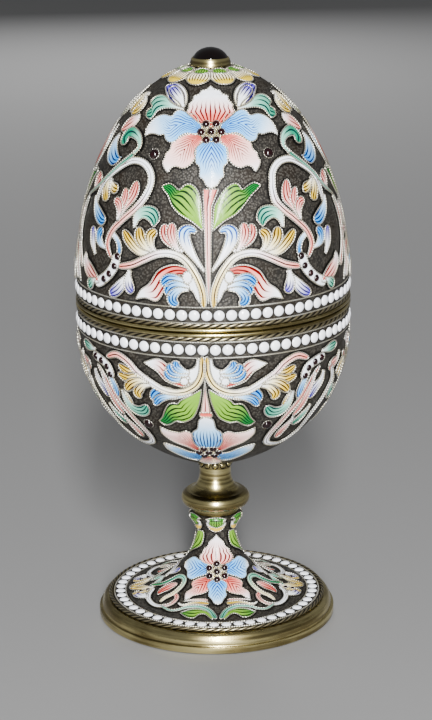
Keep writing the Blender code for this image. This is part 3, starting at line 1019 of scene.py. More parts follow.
def addRope(pile, radius, height, thickness, strands, pitch):
    # strands wound round a circle about the egg's axis
    turns = round(math.tau * radius / pitch)
    stations = 540
    sides = 6
    angles = np.linspace(0, math.tau, stations, endpoint=False)
    out = np.column_stack([np.sin(angles), -np.cos(angles), np.zeros(stations)])
    up = np.array([0, 0, 1.0])
    strandRadius = thickness * 0.29
    for strand in range(strands):
        wind = turns * angles + math.tau * strand / strands
        far = thickness / 2 - strandRadius
        line = out * (radius + far * np.cos(wind))[:, None] + up * (height + far * np.sin(wind))[:, None]
        ahead = np.roll(line, -1, axis=0) - np.roll(line, 1, axis=0)
        ahead /= np.linalg.norm(ahead, axis=1)[:, None]
        side = np.cross(ahead, out)
        side /= np.linalg.norm(side, axis=1)[:, None]
        other = np.cross(ahead, side)
        ring = [line + strandRadius * (math.cos(a) * side + math.sin(a) * other)
                for a in np.arange(sides) * math.tau / sides]
        points = np.stack(ring, axis=1).reshape(-1, 3)
        beyond = np.hypot(points[:, 0], points[:, 1]) - radius
        rise = np.hypot(beyond, points[:, 2] - height) / (thickness / 2)
        # lay holds how far out each point lies, which the rope's material turns into painted shade between
        # the strands
        lay = np.column_stack([rise, rise, rise, np.ones(len(rise))])
        addToPile(pile, points, gridFaces(stations, sides, closedRows=True, closedColumns=True), lay=lay)


def addBead(beadPile, ringPile, skin, centre, normal, radius, height):
    # an enamel drop and the dark ring at its foot: tarnish and painted shade where the drop meets the ground
    addDome(beadPile, centre, normal, radius, height, 5, 18)
    addRing(ringPile, skin, centre, normal, radius + 0.06, 0.10, 0.08)
    # lay 1 makes the whole ring dark: tarnish and painted shade
    ringPile["marks"]["lay"][-1] = np.broadcast_to((1.0, 1, 1, 1), ringPile["marks"]["lay"][-1].shape)


def outward(degrees):
    # the direction away from the axis, so many degrees round from the front
    a = math.radians(degrees)
    return np.array([math.sin(a), -math.cos(a), 0.0])


def circleOn(radius, height, count=360):
    a = np.linspace(0, math.tau, count, endpoint=False)
    return np.column_stack([radius * np.sin(a), -radius * np.cos(a), np.full(count, height)])


def makeBand():
    seam, rim = egg["seamHeight"], band["rimRadius"]
    mouth = egg["radius"] - egg["wall"]
    half = (band["rimFar"] - band["rimNear"]) / 2
    middle = (band["rimFar"] + band["rimNear"]) / 2
    swell = [(rim - half + half * math.cos(a), half * math.sin(a)) for a in np.linspace(1.5, -1.5, 11)]
    lidRim = [(r, seam + middle + z) for r, z in swell]
    lidRim += [(mouth, seam + band["rimNear"]), (mouth, seam + band["rimFar"])]
    turnedPiece("lidRim", lidRim, gilt, ["lid_rim"], closed=True)
    tongueOut = mouth - band["clearance"]
    tongueIn = tongueOut - band["tongueWall"]
    top = seam + band["tongueHeight"]
    cupRim = [(tongueOut - 0.15, top), (tongueOut, top - 0.2), (tongueOut, seam - band["rimNear"])]
    cupRim += [(r, seam - middle + z) for r, z in swell]
    cupRim += [(tongueIn, seam - band["rimFar"]), (tongueIn, top - 0.15)]
    turnedPiece("cupRim", cupRim, gilt, ["cup_rim"], closed=True)

    outer, inner = band["stripRadius"], egg["radius"] - band["stripDepth"]
    for side, word, first in ((1, "lid", band["lidFirstBead"]), (-1, "cup", band["cupFirstBead"])):
        near, far = seam + side * band["stripNear"], seam + side * band["stripFar"]
        high, low = max(near, far), min(near, far)
        stripSkin = makeSkin([(outer, high + 1), (outer, low - 1)])
        strip = [(outer, high), (outer, low), (inner, low), (inner, high)]
        replaced = [word + "_bead_row"]
        turnedPiece(word + "BeadStrip", strip, groundMetal, replaced, closed=True)
        beads, rings, wires, rope = newPile(), newPile(), newPile(), newPile()
        for k in range(band["beads"]):
            out = outward(first + 360 * k / band["beads"])
            centre = out * (outer + band["beadLift"]) + np.array([0, 0, seam + side * band["beadMiddle"]])
            addBead(beads, rings, stripSkin, centre, out, band["beadRadius"], band["beadHeight"])
        pileToPiece(word + "Beads", beads, whiteEnamel)
        # dark rings at the beads' feet: tarnish and painted shade
        pileToPiece(word + "BeadOxide", rings, groundMetal)
        for edge in (near, far):
            line = circleOn(outer, edge)
            addWire(wires, stripSkin, line, band["edgeLift"], band["edgeWire"], band["edgeStep"])
        pileToPiece(word + "BeadWires", wires, cellWire)
        height = seam + side * band["ropeMiddle"]
        addRope(rope, egg["radius"] - band["ropeInset"], height, band["ropeThickness"], band["ropeStrands"],
                band["ropePitch"])
        pileToPiece(word + "Rope", rope, bandWire, [word + "_twisted_wire"])


makeBand()
print("band at the joint made")


# Ornament of the lid, traced in the photograph's pixels on the left half of the front panel

# heights in mm and the middle line's azimuth there in degrees
lidLean = ((70, 94, 98, 120), (-1.7, -1.9, 0, 0))
lidMiddleLeaves = {
    "stem": ("stem", [(203.3, 189.5), (204, 210), (205, 240), (206.5, 280), (207.5, 304)]),
    "topPetal": ("redPetal",
        [(209, 130), (200, 124), (191, 117), (187, 113.5), (189.5, 109), (189, 106), (193.5, 101),
         (194, 97), (199, 95.5), (202, 91.5), (206, 91), (211, 87)]),
    "bottomPetal": ("bluePetal",
        [(209, 137), (203, 143), (196.5, 148), (194.5, 154), (196, 159), (195.5, 163), (199.5, 167),
         (200, 172), (199.5, 177), (203.5, 180), (206, 185.5), (211, 189)]),
}
lidLeaves = {
    "upperPetal": ("bluePetal",
        [(206, 131), (200, 124), (196, 115.5), (189, 114), (181, 110.5), (176, 112), (172, 116.5),
         (165, 115), (158, 117), (152, 122), (147.5, 129), (145.5, 136.5)],
        [(205, 134), (196, 135), (187, 133.5), (180, 136.5), (176, 141.5), (170, 142.5), (166, 139.5),
         (164.5, 134.5), (160, 135.5), (155, 134), (150, 134), (145.5, 136.5)]),
    "lowerPetal": ("pinkPetal",
        [(204, 135), (194, 134), (185, 135.5), (178, 139.5), (172, 144), (170.5, 150), (166, 154),
         (165.5, 158.5), (163, 162), (164.5, 168), (168, 173)],
        [(206, 138), (201, 143), (196.5, 149), (196, 155), (193.5, 161), (189, 166), (182.5, 168.5),
         (176.5, 166.5), (172, 167.5), (170, 170), (168, 173)]),
    "budBack": ("budPetal",
        [(184, 109), (176, 106), (169.5, 101), (167, 94), (166, 88), (168, 85.5)],
        [(184, 109), (187, 103), (187.5, 95), (184, 88), (177, 84), (168, 85.5)]),
    "broadLeaf": ("broadLeaf",
        [(203, 231), (192, 221.5), (181, 215), (172.5, 206), (168.5, 196), (164.5, 190.5), (162, 186)],
        [(203, 227), (202, 214), (201, 204), (199, 194), (195.5, 187.5), (190, 184), (184.5, 185.5),
         (179.5, 190.5), (176, 187), (170, 183.5), (162, 186)]),
    "tealLeaf": ("tealFrond",
        [(184, 108), (176, 105), (169, 99), (163, 95.5), (156, 97), (151, 103), (153, 107), (148, 110.5),
         (146.5, 117)],
        [(184, 110.5), (175, 109), (166, 108.5), (158.5, 111), (155, 115), (151, 119.5), (146.5, 117)]),
    "blueCrescent": ("blueFrond",
        [(121, 133), (114, 141), (109.5, 151), (108.5, 160), (112, 165.5), (117, 163.5), (122, 157)],
        [(121, 134), (118.5, 141), (118, 149), (119, 155), (120.5, 157.5), (122, 157)]),
    "blueCurl": ("paleCurl",
        [(204, 272), (193, 260), (184, 250), (178.5, 240), (178.5, 230), (185, 225), (193, 226),
         (197, 231)],
        [(205, 271), (200, 262), (195, 252), (191, 241), (190, 234), (193, 233), (195, 233.5), (197, 231)]),
    "redLeaf": ("redRoot",
        [(192, 270), (180, 265.5), (169, 265.5), (158, 271), (150, 283), (141, 290), (136, 299)],
        [(188, 276), (178, 275), (168, 281), (164, 291), (157, 301), (146, 297.5), (136, 299)]),
    "whiteBody": ("plainWhite",
        [(200, 303), (196, 297), (193, 291), (187, 288), (180, 286), (180, 280), (184, 275)],
        [(201.5, 300), (201.5, 291), (199, 280), (195, 272), (192, 270), (188, 270), (184, 275)]),
    "tealCrescent": ("tealFrond",
        [(134, 228), (135, 214), (145, 206), (156, 208), (160, 218), (154.5, 227)],
        [(136, 227), (139, 221), (144, 218), (150, 221.5), (152.5, 225), (154.5, 227)]),
}
# name: (paint, form, width in mm, level, line)
lidRibbons = {
    "mainRibbon": ("mainRibbon", "band", 1.35, 1,
        [(204, 308), (202, 290), (194, 272), (182.5, 258), (169, 253), (157, 254), (145, 259),
         (132.5, 264.5), (119, 266.5)]),
    "loopRibbon": ("loopRibbon", "band", 1.3, 1,
        [(112, 258), (108.5, 244), (113, 231), (123, 220), (135, 209.5), (145, 198), (151.5, 184),
         (151, 172), (144, 163), (133, 161), (120, 168), (108, 179), (101, 192), (98, 204)]),
    "loopHead": ("blueFrond", "frond", 2.6, 2, [(98, 196), (98, 207), (102, 218), (107, 221)]),
    "tealHead": ("tealHead", "drop", 2.5, 3,
        [(127, 145), (127, 138), (133, 133), (140, 138), (141, 147), (135, 155)]),
    "tealTail": ("greenRibbon", "taper", 1.0, 2,
        [(139, 149), (133, 156), (121, 165.5), (108, 178), (99, 187), (91, 195)]),
    "budFront": ("violetFrond", "frond", 2.2, 1, [(184, 108), (181, 100), (176, 93), (172, 88)]),
    "yellowTop": ("yellowFrond", "crescent", 3.0, 0, [(151, 93), (143, 98), (136, 106), (131, 113)]),
    "yellowTopLow": ("yellowFrond", "frond", 2.4, 1, [(147, 97), (145, 103), (139, 110), (133, 113)]),
    "pinkTop": ("pinkFrond", "crescent", 3.4, 0, [(141, 115), (136, 120), (129, 125), (122, 130)]),
    "pinkSide": ("pinkFrond", "frond", 3.0, 0, [(96, 190), (98, 182), (103, 174)]),
    "yellowInLoop": ("yellowFrond", "frond", 2.6, 0, [(113, 178), (107, 188), (107, 201)]),
    "yellowInLoopTwo": ("yellowFrond", "frond", 2.1, 1, [(112, 180), (114, 187), (119, 190)]),
    "pinkInLoopA": ("pinkFrond", "frond", 2.3, 0, [(119, 222), (124, 208), (133, 195), (138, 181)]),
    "pinkInLoopB": ("pinkFrond", "frond", 1.9, 1, [(119, 221), (122, 208), (126, 197), (127, 188)]),
    "pinkInLoopC": ("pinkFrond", "frond", 1.9, 2, [(119, 220), (121, 210), (120, 203), (116, 200)]),
    "yellowA": ("yellowFrond", "frond", 2.1, 0, [(153, 252), (141, 252), (131, 242), (124, 230)]),
    "yellowB": ("yellowFrond", "frond", 2.3, 1, [(154, 251), (147, 247), (141, 238), (140, 227)]),
    "yellowC": ("yellowFrond", "frond", 2.0, 2, [(156, 251), (152, 245), (151, 236), (157, 230)]),
    "pinkA": ("pinkFrond", "frond", 2.2, 0, [(183, 252), (173, 244), (166, 235), (165, 224)]),
    "pinkB": ("pinkFrond", "frond", 2.0, 1, [(180, 252), (175, 244), (171.5, 234), (173, 223)]),
    "blueUnderA": ("blueFrond", "frond", 2.2, 2, [(189, 284), (180, 280.5), (170, 279), (162, 284.5)]),
    "blueUnderB": ("blueFrond", "frond", 2.2, 3, [(190, 287), (181, 285), (172, 287), (167, 294.5)]),
    "blueUnderC": ("blueFrond", "frond", 2.0, 4,
        [(189, 289), (180, 289.5), (173.5, 295), (173.5, 301), (179, 304.5)]),
    "whiteCurl": ("plainWhite", "oval", 2.3, 4, [(192.5, 277), (188, 277), (183.5, 277)]),
    "violetUnderA": ("violetFrond", "frond", 2.4, 0, [(131, 270), (126, 279), (118, 289), (110, 294)]),
    "violetUnderB": ("violetFrond", "frond", 2.3, 1, [(130, 270), (129, 279), (130, 287), (134, 292)]),
    "dotBand": ("plainWhite", "band", 2.1, 2, [(118, 254), (116, 265), (110, 274), (103, 280), (97, 282)]),
    "violetSide": ("violetFrond", "frond", 2.2, 0, [(96, 254), (94, 244), (94, 234), (94, 226)]),
    "blueSide": ("blueFrond", "frond", 2.2, 1, [(107, 248), (102, 243), (100, 235), (104, 228)]),
    "blueInner": ("blueFrond", "band", 1.1, 0, [(113, 233), (118, 240), (120, 248), (119, 256)]),
    "pinkEnd": ("pinkFrond", "crescent", 3.0, 2, [(88, 252), (88, 262), (93, 273), (101, 282)]),
    "farRibbon": ("farRibbon", "band", 1.3, 1,
        [(91, 195), (87, 208), (84, 222), (82.3, 238), (82.5, 252), (83.8, 266)]),
    "greenTooth": ("tealFrond", "frond", 2.2, 3, [(97, 279), (93, 282), (90, 286)]),
}
lidStones = {"loneStone": (155.2, 154.6, 1.02), "dotA": (118.8, 256.6, 0.74), "dotB": (115.7, 266, 0.74),
             "dotC": (110.5, 273.5, 0.74), "dotD": (105.4, 278.6, 0.74)}


lidSideMiddles = {
    "stem": ("stem", [(205, 190), (205.5, 230), (206, 270), (206.5, 304)]),
    "tulip": ("pinkPetal", [(207.5, 190), (198, 182), (193.5, 168), (196, 154), (203, 144), (210.5, 134)]),
    "topBud": ("budPetal", [(210, 131), (204.5, 123), (203, 113), (206, 103), (211, 94)]),
}
lidSideLeaves = {
    "tulipSide": ("bluePetal",
        [(206, 190), (188, 184), (178, 170), (174, 154), (182, 136)],
        [(207, 186), (198, 178), (190, 165), (189, 150), (182, 136)]),
    "topLeaf": ("greenLeaf",
        [(208, 131), (196, 127), (188, 117), (188, 104)],
        [(209, 127), (202, 121), (197, 113), (188, 104)]),
}


calyx = {
    "petals": 10,
    "outerRadii": (4.7, 6.2, 8.0, 9.9),
    "outerWidth": 5.1,
    "innerRadii": (4.6, 5.6, 6.8),
    "innerWidth": 3.2,
}


def makeCalyx():
    # petals round the finial
    outer, inner = ([(0, -r, np.interp(r, lidOutline[::-1, 0], lidOutline[::-1, 1])) for r in calyx[radii]]
                    for radii in ("outerRadii", "innerRadii"))
    ribbons = [(outer, calyx["outerWidth"], "scallop", "calyx"),
               (inner, calyx["innerWidth"], "scallop", "calyxGreen")]
    # the third piece holds the dark strips beside the petals: tarnish and painted shade
    makeScallops(("calyxCells", "calyxWires", "calyxOxide"), lidSkin, ribbons, calyx["petals"],
                 180 / calyx["petals"])


makePanels("lid", lidSkin, lidLean, lidLeaves, lidRibbons, lidMiddleLeaves, lidStones,
           ((211, 132.6), 1.95, 0.72, 0))
makeCalyx()
makeSides("lidSide", lidSkin, lidLean,
          {**chosen(lidLeaves, "broadLeaf", "blueCurl", "redLeaf"), **lidSideLeaves},
          chosen(lidRibbons, "mainRibbon", "pinkA", "pinkB", "blueUnderB", "blueUnderC"), lidSideMiddles, 7)
print("lid ornament made")


# Ornament of the cup, traced in the same way

cupLean = ((33, 70), (-3.7, -3.7))
cupMiddleLeaves = {
    "stem": ("stem", [(205.4, 378), (204.2, 390), (202.6, 402), (201.2, 411.5)]),
    "collar": ("plainRed", [(200.5, 411.7), (199.7, 413.8), (200.5, 416)]),
    "topPetal": ("blueRays",
        [(208, 447.5), (200.5, 446.5), (195, 442.5), (192.5, 436.5), (193, 431), (197.5, 428), (198.5, 423),
         (199.3, 419), (203, 417), (207, 416.8)]),
    "lowPetal": ("pinkPetal", [(208, 452), (204, 455), (200, 459), (205, 461.5), (210.5, 462)]),
}
cupLeaves = {
    "upperPetal": ("pinkPetal",
        [(204, 447), (197, 440), (192, 433.5), (186, 430.5), (180, 432), (176, 431.5), (169, 430),
         (160.5, 426)],
        [(201, 450.5), (195, 449), (187, 445.5), (176, 441.5), (168, 437), (162, 431.5), (160.5, 426)]),
    "lowerPetal": ("bluePetal",
        [(203, 452), (192, 451.5), (181, 447.5), (171, 444), (163.5, 442)],
        [(206, 456), (198, 459), (188, 457), (176, 452.3), (168, 447.8), (163.5, 442)]),
    "broadLeaf": ("broadLeaf",
        [(201.3, 389), (191, 395), (181, 399.6), (177.5, 403.4), (173, 402.6), (168.5, 404), (165, 410),
         (163, 416), (159.5, 420)],
        [(201.3, 392), (199.5, 403), (194.5, 415.5), (188.5, 420), (182.5, 421.5), (176.5, 420.5),
         (171, 423.5), (165, 424), (159.5, 420)]),
    "redBand": ("redRoot",
        [(191, 383.5), (184, 386.5), (174, 384), (165, 379.5), (158, 371.5), (150, 366), (144, 361.8)],
        [(189, 381), (182, 382), (174, 380), (169, 374), (168, 366), (158, 358.5), (144, 361.8)]),
    "whiteBody": ("plainWhite",
        [(199, 359), (199.8, 371), (196, 379), (190, 383.5), (184.5, 384)],
        [(197.3, 359), (195.5, 366), (190, 369.5), (183.5, 370.5), (181, 375), (184.5, 384)]),
}
cupRibbons = {
    "mainRibbon": ("mainRibbon", "band", 1.35, 1,
        [(202, 356.5), (202, 372), (197, 383.6), (187.2, 390.3), (175, 392), (163, 389), (150, 381),
         (137.6, 371.5), (128, 361), (117, 354), (107.5, 356)]),
    "loopRibbon": ("loopRibbon", "band", 1.2, 1,
        [(99, 363), (107, 378), (118, 397), (132, 414), (148, 431), (153, 440), (143, 439.5), (128, 429),
         (112, 411), (99, 392), (91, 374), (91, 360)]),
    "blueA": ("blueFrond", "frond", 2.1, 2, [(190, 377), (182, 378), (172, 376), (165.5, 369)]),
    "blueB": ("blueFrond", "frond", 2.1, 3, [(189, 374), (181, 373), (172.5, 370), (169.5, 363)]),
    "blueC": ("blueFrond", "frond", 1.8, 4, [(190, 371.5), (182, 369.5), (176.5, 365.5), (177, 360)]),
    "whiteCurl": ("plainWhite", "oval", 1.6, 4, [(189, 380), (185, 380), (181, 380)]),
    "yellowA": ("yellowFrond", "frond", 2.0, 0, [(150, 382), (138, 373), (128, 371), (119, 364)]),
    "yellowB": ("yellowFrond", "frond", 2.0, 1, [(150, 383), (139, 376), (129, 377.5), (119, 373)]),
    "yellowC": ("yellowFrond", "frond", 2.1, 2, [(150, 384), (141, 380), (132, 383), (127, 389)]),
    "yellowD": ("yellowFrond", "frond", 2.1, 3, [(151, 384), (144, 385), (139, 391), (142, 397)]),
    "blueUnder": ("blueFrond", "frond", 2.8, 0, [(192, 393), (176, 394), (160, 392.5), (152, 399)]),
    "blueUnderTwo": ("blueFrond", "frond", 1.7, 1, [(178, 395.5), (168, 396), (160, 398), (155, 404)]),
    "tealCrescent": ("tealFrond", "frond", 2.5, 0,
        [(123, 389), (126.5, 399), (134, 408), (143, 410.5), (148, 405)]),
    "yellowStroke": ("yellowFrond", "band", 0.7, 0, [(124, 390), (129, 396), (133, 403)]),
    "whiteCrescent": ("blueFrond", "frond", 1.9, 0, [(106, 365), (112, 378), (117, 390), (116, 398)]),
    "dotBand": ("plainWhite", "band", 1.8, 2, [(95, 353), (103, 359), (110, 366), (114, 377)]),
    "pinkInLoop": ("pinkFrond", "frond", 1.6, 2, [(103, 370), (109, 386), (118, 403), (126, 413)]),
    "pinkInLoopTwo": ("pinkFrond", "frond", 1.9, 3, [(126, 414), (133, 422), (140, 429), (144, 434)]),
    "violetInLoop": ("violetFrond", "frond", 2.8, 0, [(96, 368), (99, 378), (105, 387), (110, 396)]),
    "greenInLoop": ("tealFrond", "frond", 2.3, 0, [(110, 402), (115, 409), (122, 417), (128, 421)]),
    "pinkEnd": ("pinkFrond", "frond", 2.2, 1, [(84, 348), (86, 356), (90, 362), (92, 368)]),
    "tealEnd": ("tealFrond", "frond", 2.0, 0, [(96, 349), (92, 347), (88, 344), (85, 341)]),
}
cupStones = {"loneStone": (149.5, 422.2, 1.02), "dotA": (97.6, 355.3, 0.72), "dotB": (103, 359.6, 0.72),
             "dotC": (108.6, 365.6, 0.72), "dotD": (112, 373.6, 0.72)}


makePanels("cup", cupSkin, cupLean, cupLeaves, cupRibbons, cupMiddleLeaves, cupStones,
           ((210.9, 450.3), 1.95, 0.72, 0))
makeSides("cupSide", cupSkin, cupLean, chosen(cupLeaves, "broadLeaf", "redBand", "upperPetal"),
          chosen(cupRibbons, "mainRibbon", "blueA", "blueB", "blueUnder", "yellowC", "yellowD",
                 "tealCrescent"),
          chosen(cupMiddleLeaves, "stem", "topPetal"), 8)
print("cup ornament made")


# Finial, knop, pedestal and base rim

stand = {
    "colletRadius": 4.16,
    "colletWall": 0.4,
    "colletFloor": 0.5,
    "bezelHeight": 1.6,
    "stoneRadius": 3.62,
    "stoneTop": 121.33,
    "stoneSeat": 118.54,
    "knopTop": 33.8,
    "neckRadius": 3.33,
    "neckScallops": 12,
    "neckScallopRadius": 0.66,
    "neckScallopHeight": 0.3,
    "neckScallopDrop": 0.45,
    "scallops": 6,
    "scallopOuter": (0.05, 1.4, 3.1),
    "scallopInner": (0.05, 1.0, 2.0),
    "bellTop": 31.2,
    "bellBottom": 27.2,
    "bellRadius": 6.1,
    "mouldingMiddle": 25.55,
    "mouldingRadius": 7.25,
    "mouldingHalf": 1.65,
    "knopBottom": 22.5,
    "spreadRadius": 5.15,
    "topRadius": 4.85,
    "pedestalTop": 22.2,
    "waistRadius": 4.2,
    "waistHeight": 17.8,
    "fieldRadius": 19.15,
    "fieldHeight": 4.8,
    "trumpetPower": 10 / 3,
    "plateRadius": 22.15,
    "plateTop": 4.2,
    "plateBottom": 3.3,
    "sideWall": 1.0,
    "plateWall": 0.8,
    "footBeads": 51,
    "footFirstBead": 203.1,
    "footBeadCentre": 20.65,
    "footBeadRadius": 1.03,
    "footBeadHeight": 0.4,
    "footWire": 0.17,
    "footWireLift": 0.06,
    "footRopeRadius": 22.75,
    "footRopeHeight": 4.4,
    "footRopeThickness": 0.8,
    "footRopeStrands": 3,
    "footRopePitch": 5.2,
    "baseSeat": 22.45,
    "baseSeatHeight": 3.9,
    "ovoloInner": 23.35,
    "ovoloOuter": 24.65,
    "flangeRadius": 25.2,
    "flangeHeight": 1.5,
    "ledgeHeight": 3.0,
    "baseInner": 21.0,
}


def arc(centre, radii, first, last, steps):
    # outline points on an ellipse, from one angle to another in degrees
    angles = np.radians(np.linspace(first, last, steps))
    return [(centre[0] + radii[0] * math.cos(a), centre[1] + radii[1] * math.sin(a)) for a in angles]


def makeFinial():
    bottom = lidOutline[-1][1] + 0.3
    wide, tall = stand["colletRadius"], stand["stoneTop"] - bottom
    lip = math.degrees(math.asin(stand["bezelHeight"] / tall))
    dome = arc((0, bottom), (wide, tall), lip, 0, 10)
    inner = dome[0][0] - stand["colletWall"] * 0.45
    floor = bottom + stand["colletFloor"]
    line = [(nearAxis, floor), (wide - stand["colletWall"], floor), (inner, dome[0][1] - 0.05)]
    line += dome + [(nearAxis, bottom)]
    turnedPiece("finialCollet", line, gilt, ["finial_collet"], sides=96)
    seat = stand["stoneSeat"]
    crown = arc((0, seat), (stand["stoneRadius"], stand["stoneTop"] - seat), 90, 0, 20)
    crown[0] = (nearAxis, stand["stoneTop"])
    turnedPiece("finialStone", crown + [(nearAxis, seat)], garnet, ["finial_stone"], sides=96)


def makeKnop():
    bell = [(stand["bellRadius"] - (stand["bellRadius"] - stand["neckRadius"]) * math.cos(a),
             stand["bellTop"] - (stand["bellTop"] - stand["bellBottom"]) * math.sin(a))
            for a in np.linspace(0, math.pi / 2, 16)]
    moulding = arc((stand["mouldingRadius"] - stand["mouldingHalf"], stand["mouldingMiddle"]),
                   (stand["mouldingHalf"], stand["mouldingHalf"]), 84, -88, 20)
    foot = [(stand["spreadRadius"], stand["mouldingMiddle"] - stand["mouldingHalf"]),
            (stand["topRadius"] + 0.12, stand["knopBottom"] + 0.5),
            (stand["topRadius"], stand["knopBottom"]), (nearAxis, stand["knopBottom"])]
    line = [(nearAxis, stand["knopTop"]), (stand["neckRadius"], stand["knopTop"])] + bell + moulding + foot
    turnedPiece("knop", line, gilt, ["knop"], sides=128)


def makeNeckRing():
    # small scallops where the neck meets the cup
    scallops, tarnishAndShade = newPile(), newPile()
    skin = makeSkin([(stand["neckRadius"], stand["knopTop"] + 1), (stand["neckRadius"], stand["bellTop"])])
    height = stand["knopTop"] - stand["neckScallopDrop"]
    for k in range(stand["neckScallops"]):
        out = outward(360 * k / stand["neckScallops"])
        centre = out * (stand["neckRadius"] + 0.02) + np.array([0, 0, height])
        addBead(scallops, tarnishAndShade, skin, centre, out, stand["neckScallopRadius"], stand["neckScallopHeight"])
    pileToPiece("neckScallops", scallops, gilt)
    # dark rings at the scallops' feet: tarnish and painted shade
    pileToPiece("neckScallopOxide", tarnishAndShade, groundMetal)


def trumpetLine(inward, down, steps):
    span, fall = stand["fieldRadius"] - stand["waistRadius"], stand["waistHeight"] - stand["fieldHeight"]
    power = stand["trumpetPower"]
    return [(stand["waistRadius"] + span * math.sin(a) ** power - inward,
             stand["fieldHeight"] + fall * math.cos(a) ** power - down)
            for a in np.linspace(0, math.pi / 2, steps)]


footLine = arc((stand["waistRadius"] + 4.0, stand["waistHeight"]), (4.0, 5.2), 122, 180, 9)
footLine = [(r, z) for r, z in footLine if z < stand["pedestalTop"] - 0.2] + trumpetLine(0, 0, 60)[1:]
footLine = [(stand["topRadius"], stand["pedestalTop"])] + footLine
footSkin = makeSkin(footLine, wireShare=0.66)

footLean = ((0, 30), (1.0, 1.0))
footMiddleLeaves = {
    "topPetal": ("redRays",
        [(213, 566), (207, 564), (202, 561), (200.8, 556), (203.8, 552.5), (204.5, 549), (208.3, 546),
         (210, 541), (213.5, 538), (216.3, 534)]),
    "bottomPetal": ("blueShort",
        [(214, 579), (208.8, 583), (207.6, 588), (209.4, 591.5), (208.6, 596.3), (212, 600.5), (214, 604),
         (218, 605.5)]),
}
footLeaves = {
    "upperPetal": ("blueShort",
        [(210, 567), (204.5, 561), (199.8, 560), (195.7, 556.8), (190.4, 558.7), (186.5, 562),
         (184.8, 567)],
        [(210, 573), (202.5, 575.8), (197.8, 577.3), (192, 579.6), (187.8, 577), (187.8, 571.5),
         (184.8, 567)]),
    "lowerPetal": ("pinkShort",
        [(210, 576.5), (201, 578), (194, 581.3), (191.8, 584.8), (193.2, 588), (189.5, 590.8), (185.8, 594),
         (185, 600.5)],
        [(212, 581), (210, 588), (205, 593), (198.6, 595), (193, 596), (189.5, 598.5), (185, 600.5)]),
    "sideLeaf": ("greenLeaf",
        [(199, 529), (196, 537), (193.5, 545), (190, 552)],
        [(204, 531), (204, 538), (200.5, 546), (190, 552)]),
    "vLeaf": ("greenLeaf",
        [(214, 618.5), (208, 612.5), (198, 609.5), (188, 610.5), (180, 613.5)],
        [(212, 620), (205, 615), (199, 615), (194, 618.5), (187, 618), (180, 613.5)]),
}
footRibbons = {
    "vRibbon": ("greenRibbon", "taper", 1.15, 1,
        [(216, 620), (210, 612), (199, 607.5), (186, 608.3), (177, 611), (169, 611), (161, 606.5)]),
    "yellowRibbon": ("yellowFrond", "flare", 1.0, 0,
        [(178, 603.5), (183, 605.8), (195, 603.3), (209, 604.3)]),
    "redLine": ("pinkFrond", "flare", 0.5, 1, [(184, 602.2), (195, 600.8), (208, 601)]),
    "greenLoop": ("greenLoop", "band", 1.0, 1,
        [(152, 585.2), (161, 584.8), (170, 581.5), (178, 577.3), (183.5, 577.5), (185, 581.5), (181, 588),
         (173, 594.7), (165.5, 598.5), (160, 603)]),
    "pinkLoop": ("loopRibbon", "band", 0.95, 0,
        [(174.5, 593.5), (177, 598), (172, 603.8), (163.8, 606.5), (154.7, 605.5), (148.9, 600),
         (149.7, 594), (154.7, 588.9)]),
    "redInLoop": ("redInLoop", "crescent", 2.3, 0, [(158, 595), (163, 590.5), (170, 587), (178, 584)]),
    "yellowSide": ("yellowFrond", "frond", 2.3, 0, [(154, 588), (146, 588.5), (138, 588.5), (130, 588)]),
    "yellowUpper": ("yellowFrond", "frond", 2.2, 0, [(157, 578), (149, 579), (141, 580.5), (133, 581.5)]),
    "violetSide": ("violetFrond", "frond", 2.6, 0, [(149, 596.5), (145, 597), (140, 595.5), (137, 593.5)]),
    "violetTop": ("violetFrond", "frond", 1.6, 0, [(166, 575.5), (171, 573), (176, 571), (181, 569.5)]),
    "tealTop": ("tealFrond", "frond", 1.7, 0, [(165, 577), (160, 578), (155, 579), (150, 581)]),
}
footStones = {"dotA": (141.4, 592.4, 0.42), "dotB": (148.5, 590.9, 0.42)}


def makeFootScallops():
    # scallops under the knop
    outer, inner = ([onMiddle(footSkin, stand["pedestalTop"] - down, footLean) for down in stand[key]]
                    for key in ("scallopOuter", "scallopInner"))
    # the third piece holds the dark strips beside the scallops: tarnish and painted shade
    makeScallops(("footScallops", "footScallopWires", "footScallopOxide"), footSkin,
                 [(outer, 4.5, "cup", "calyxRim"), (inner, 3.6, "cup", "calyxGreen")], stand["scallops"])


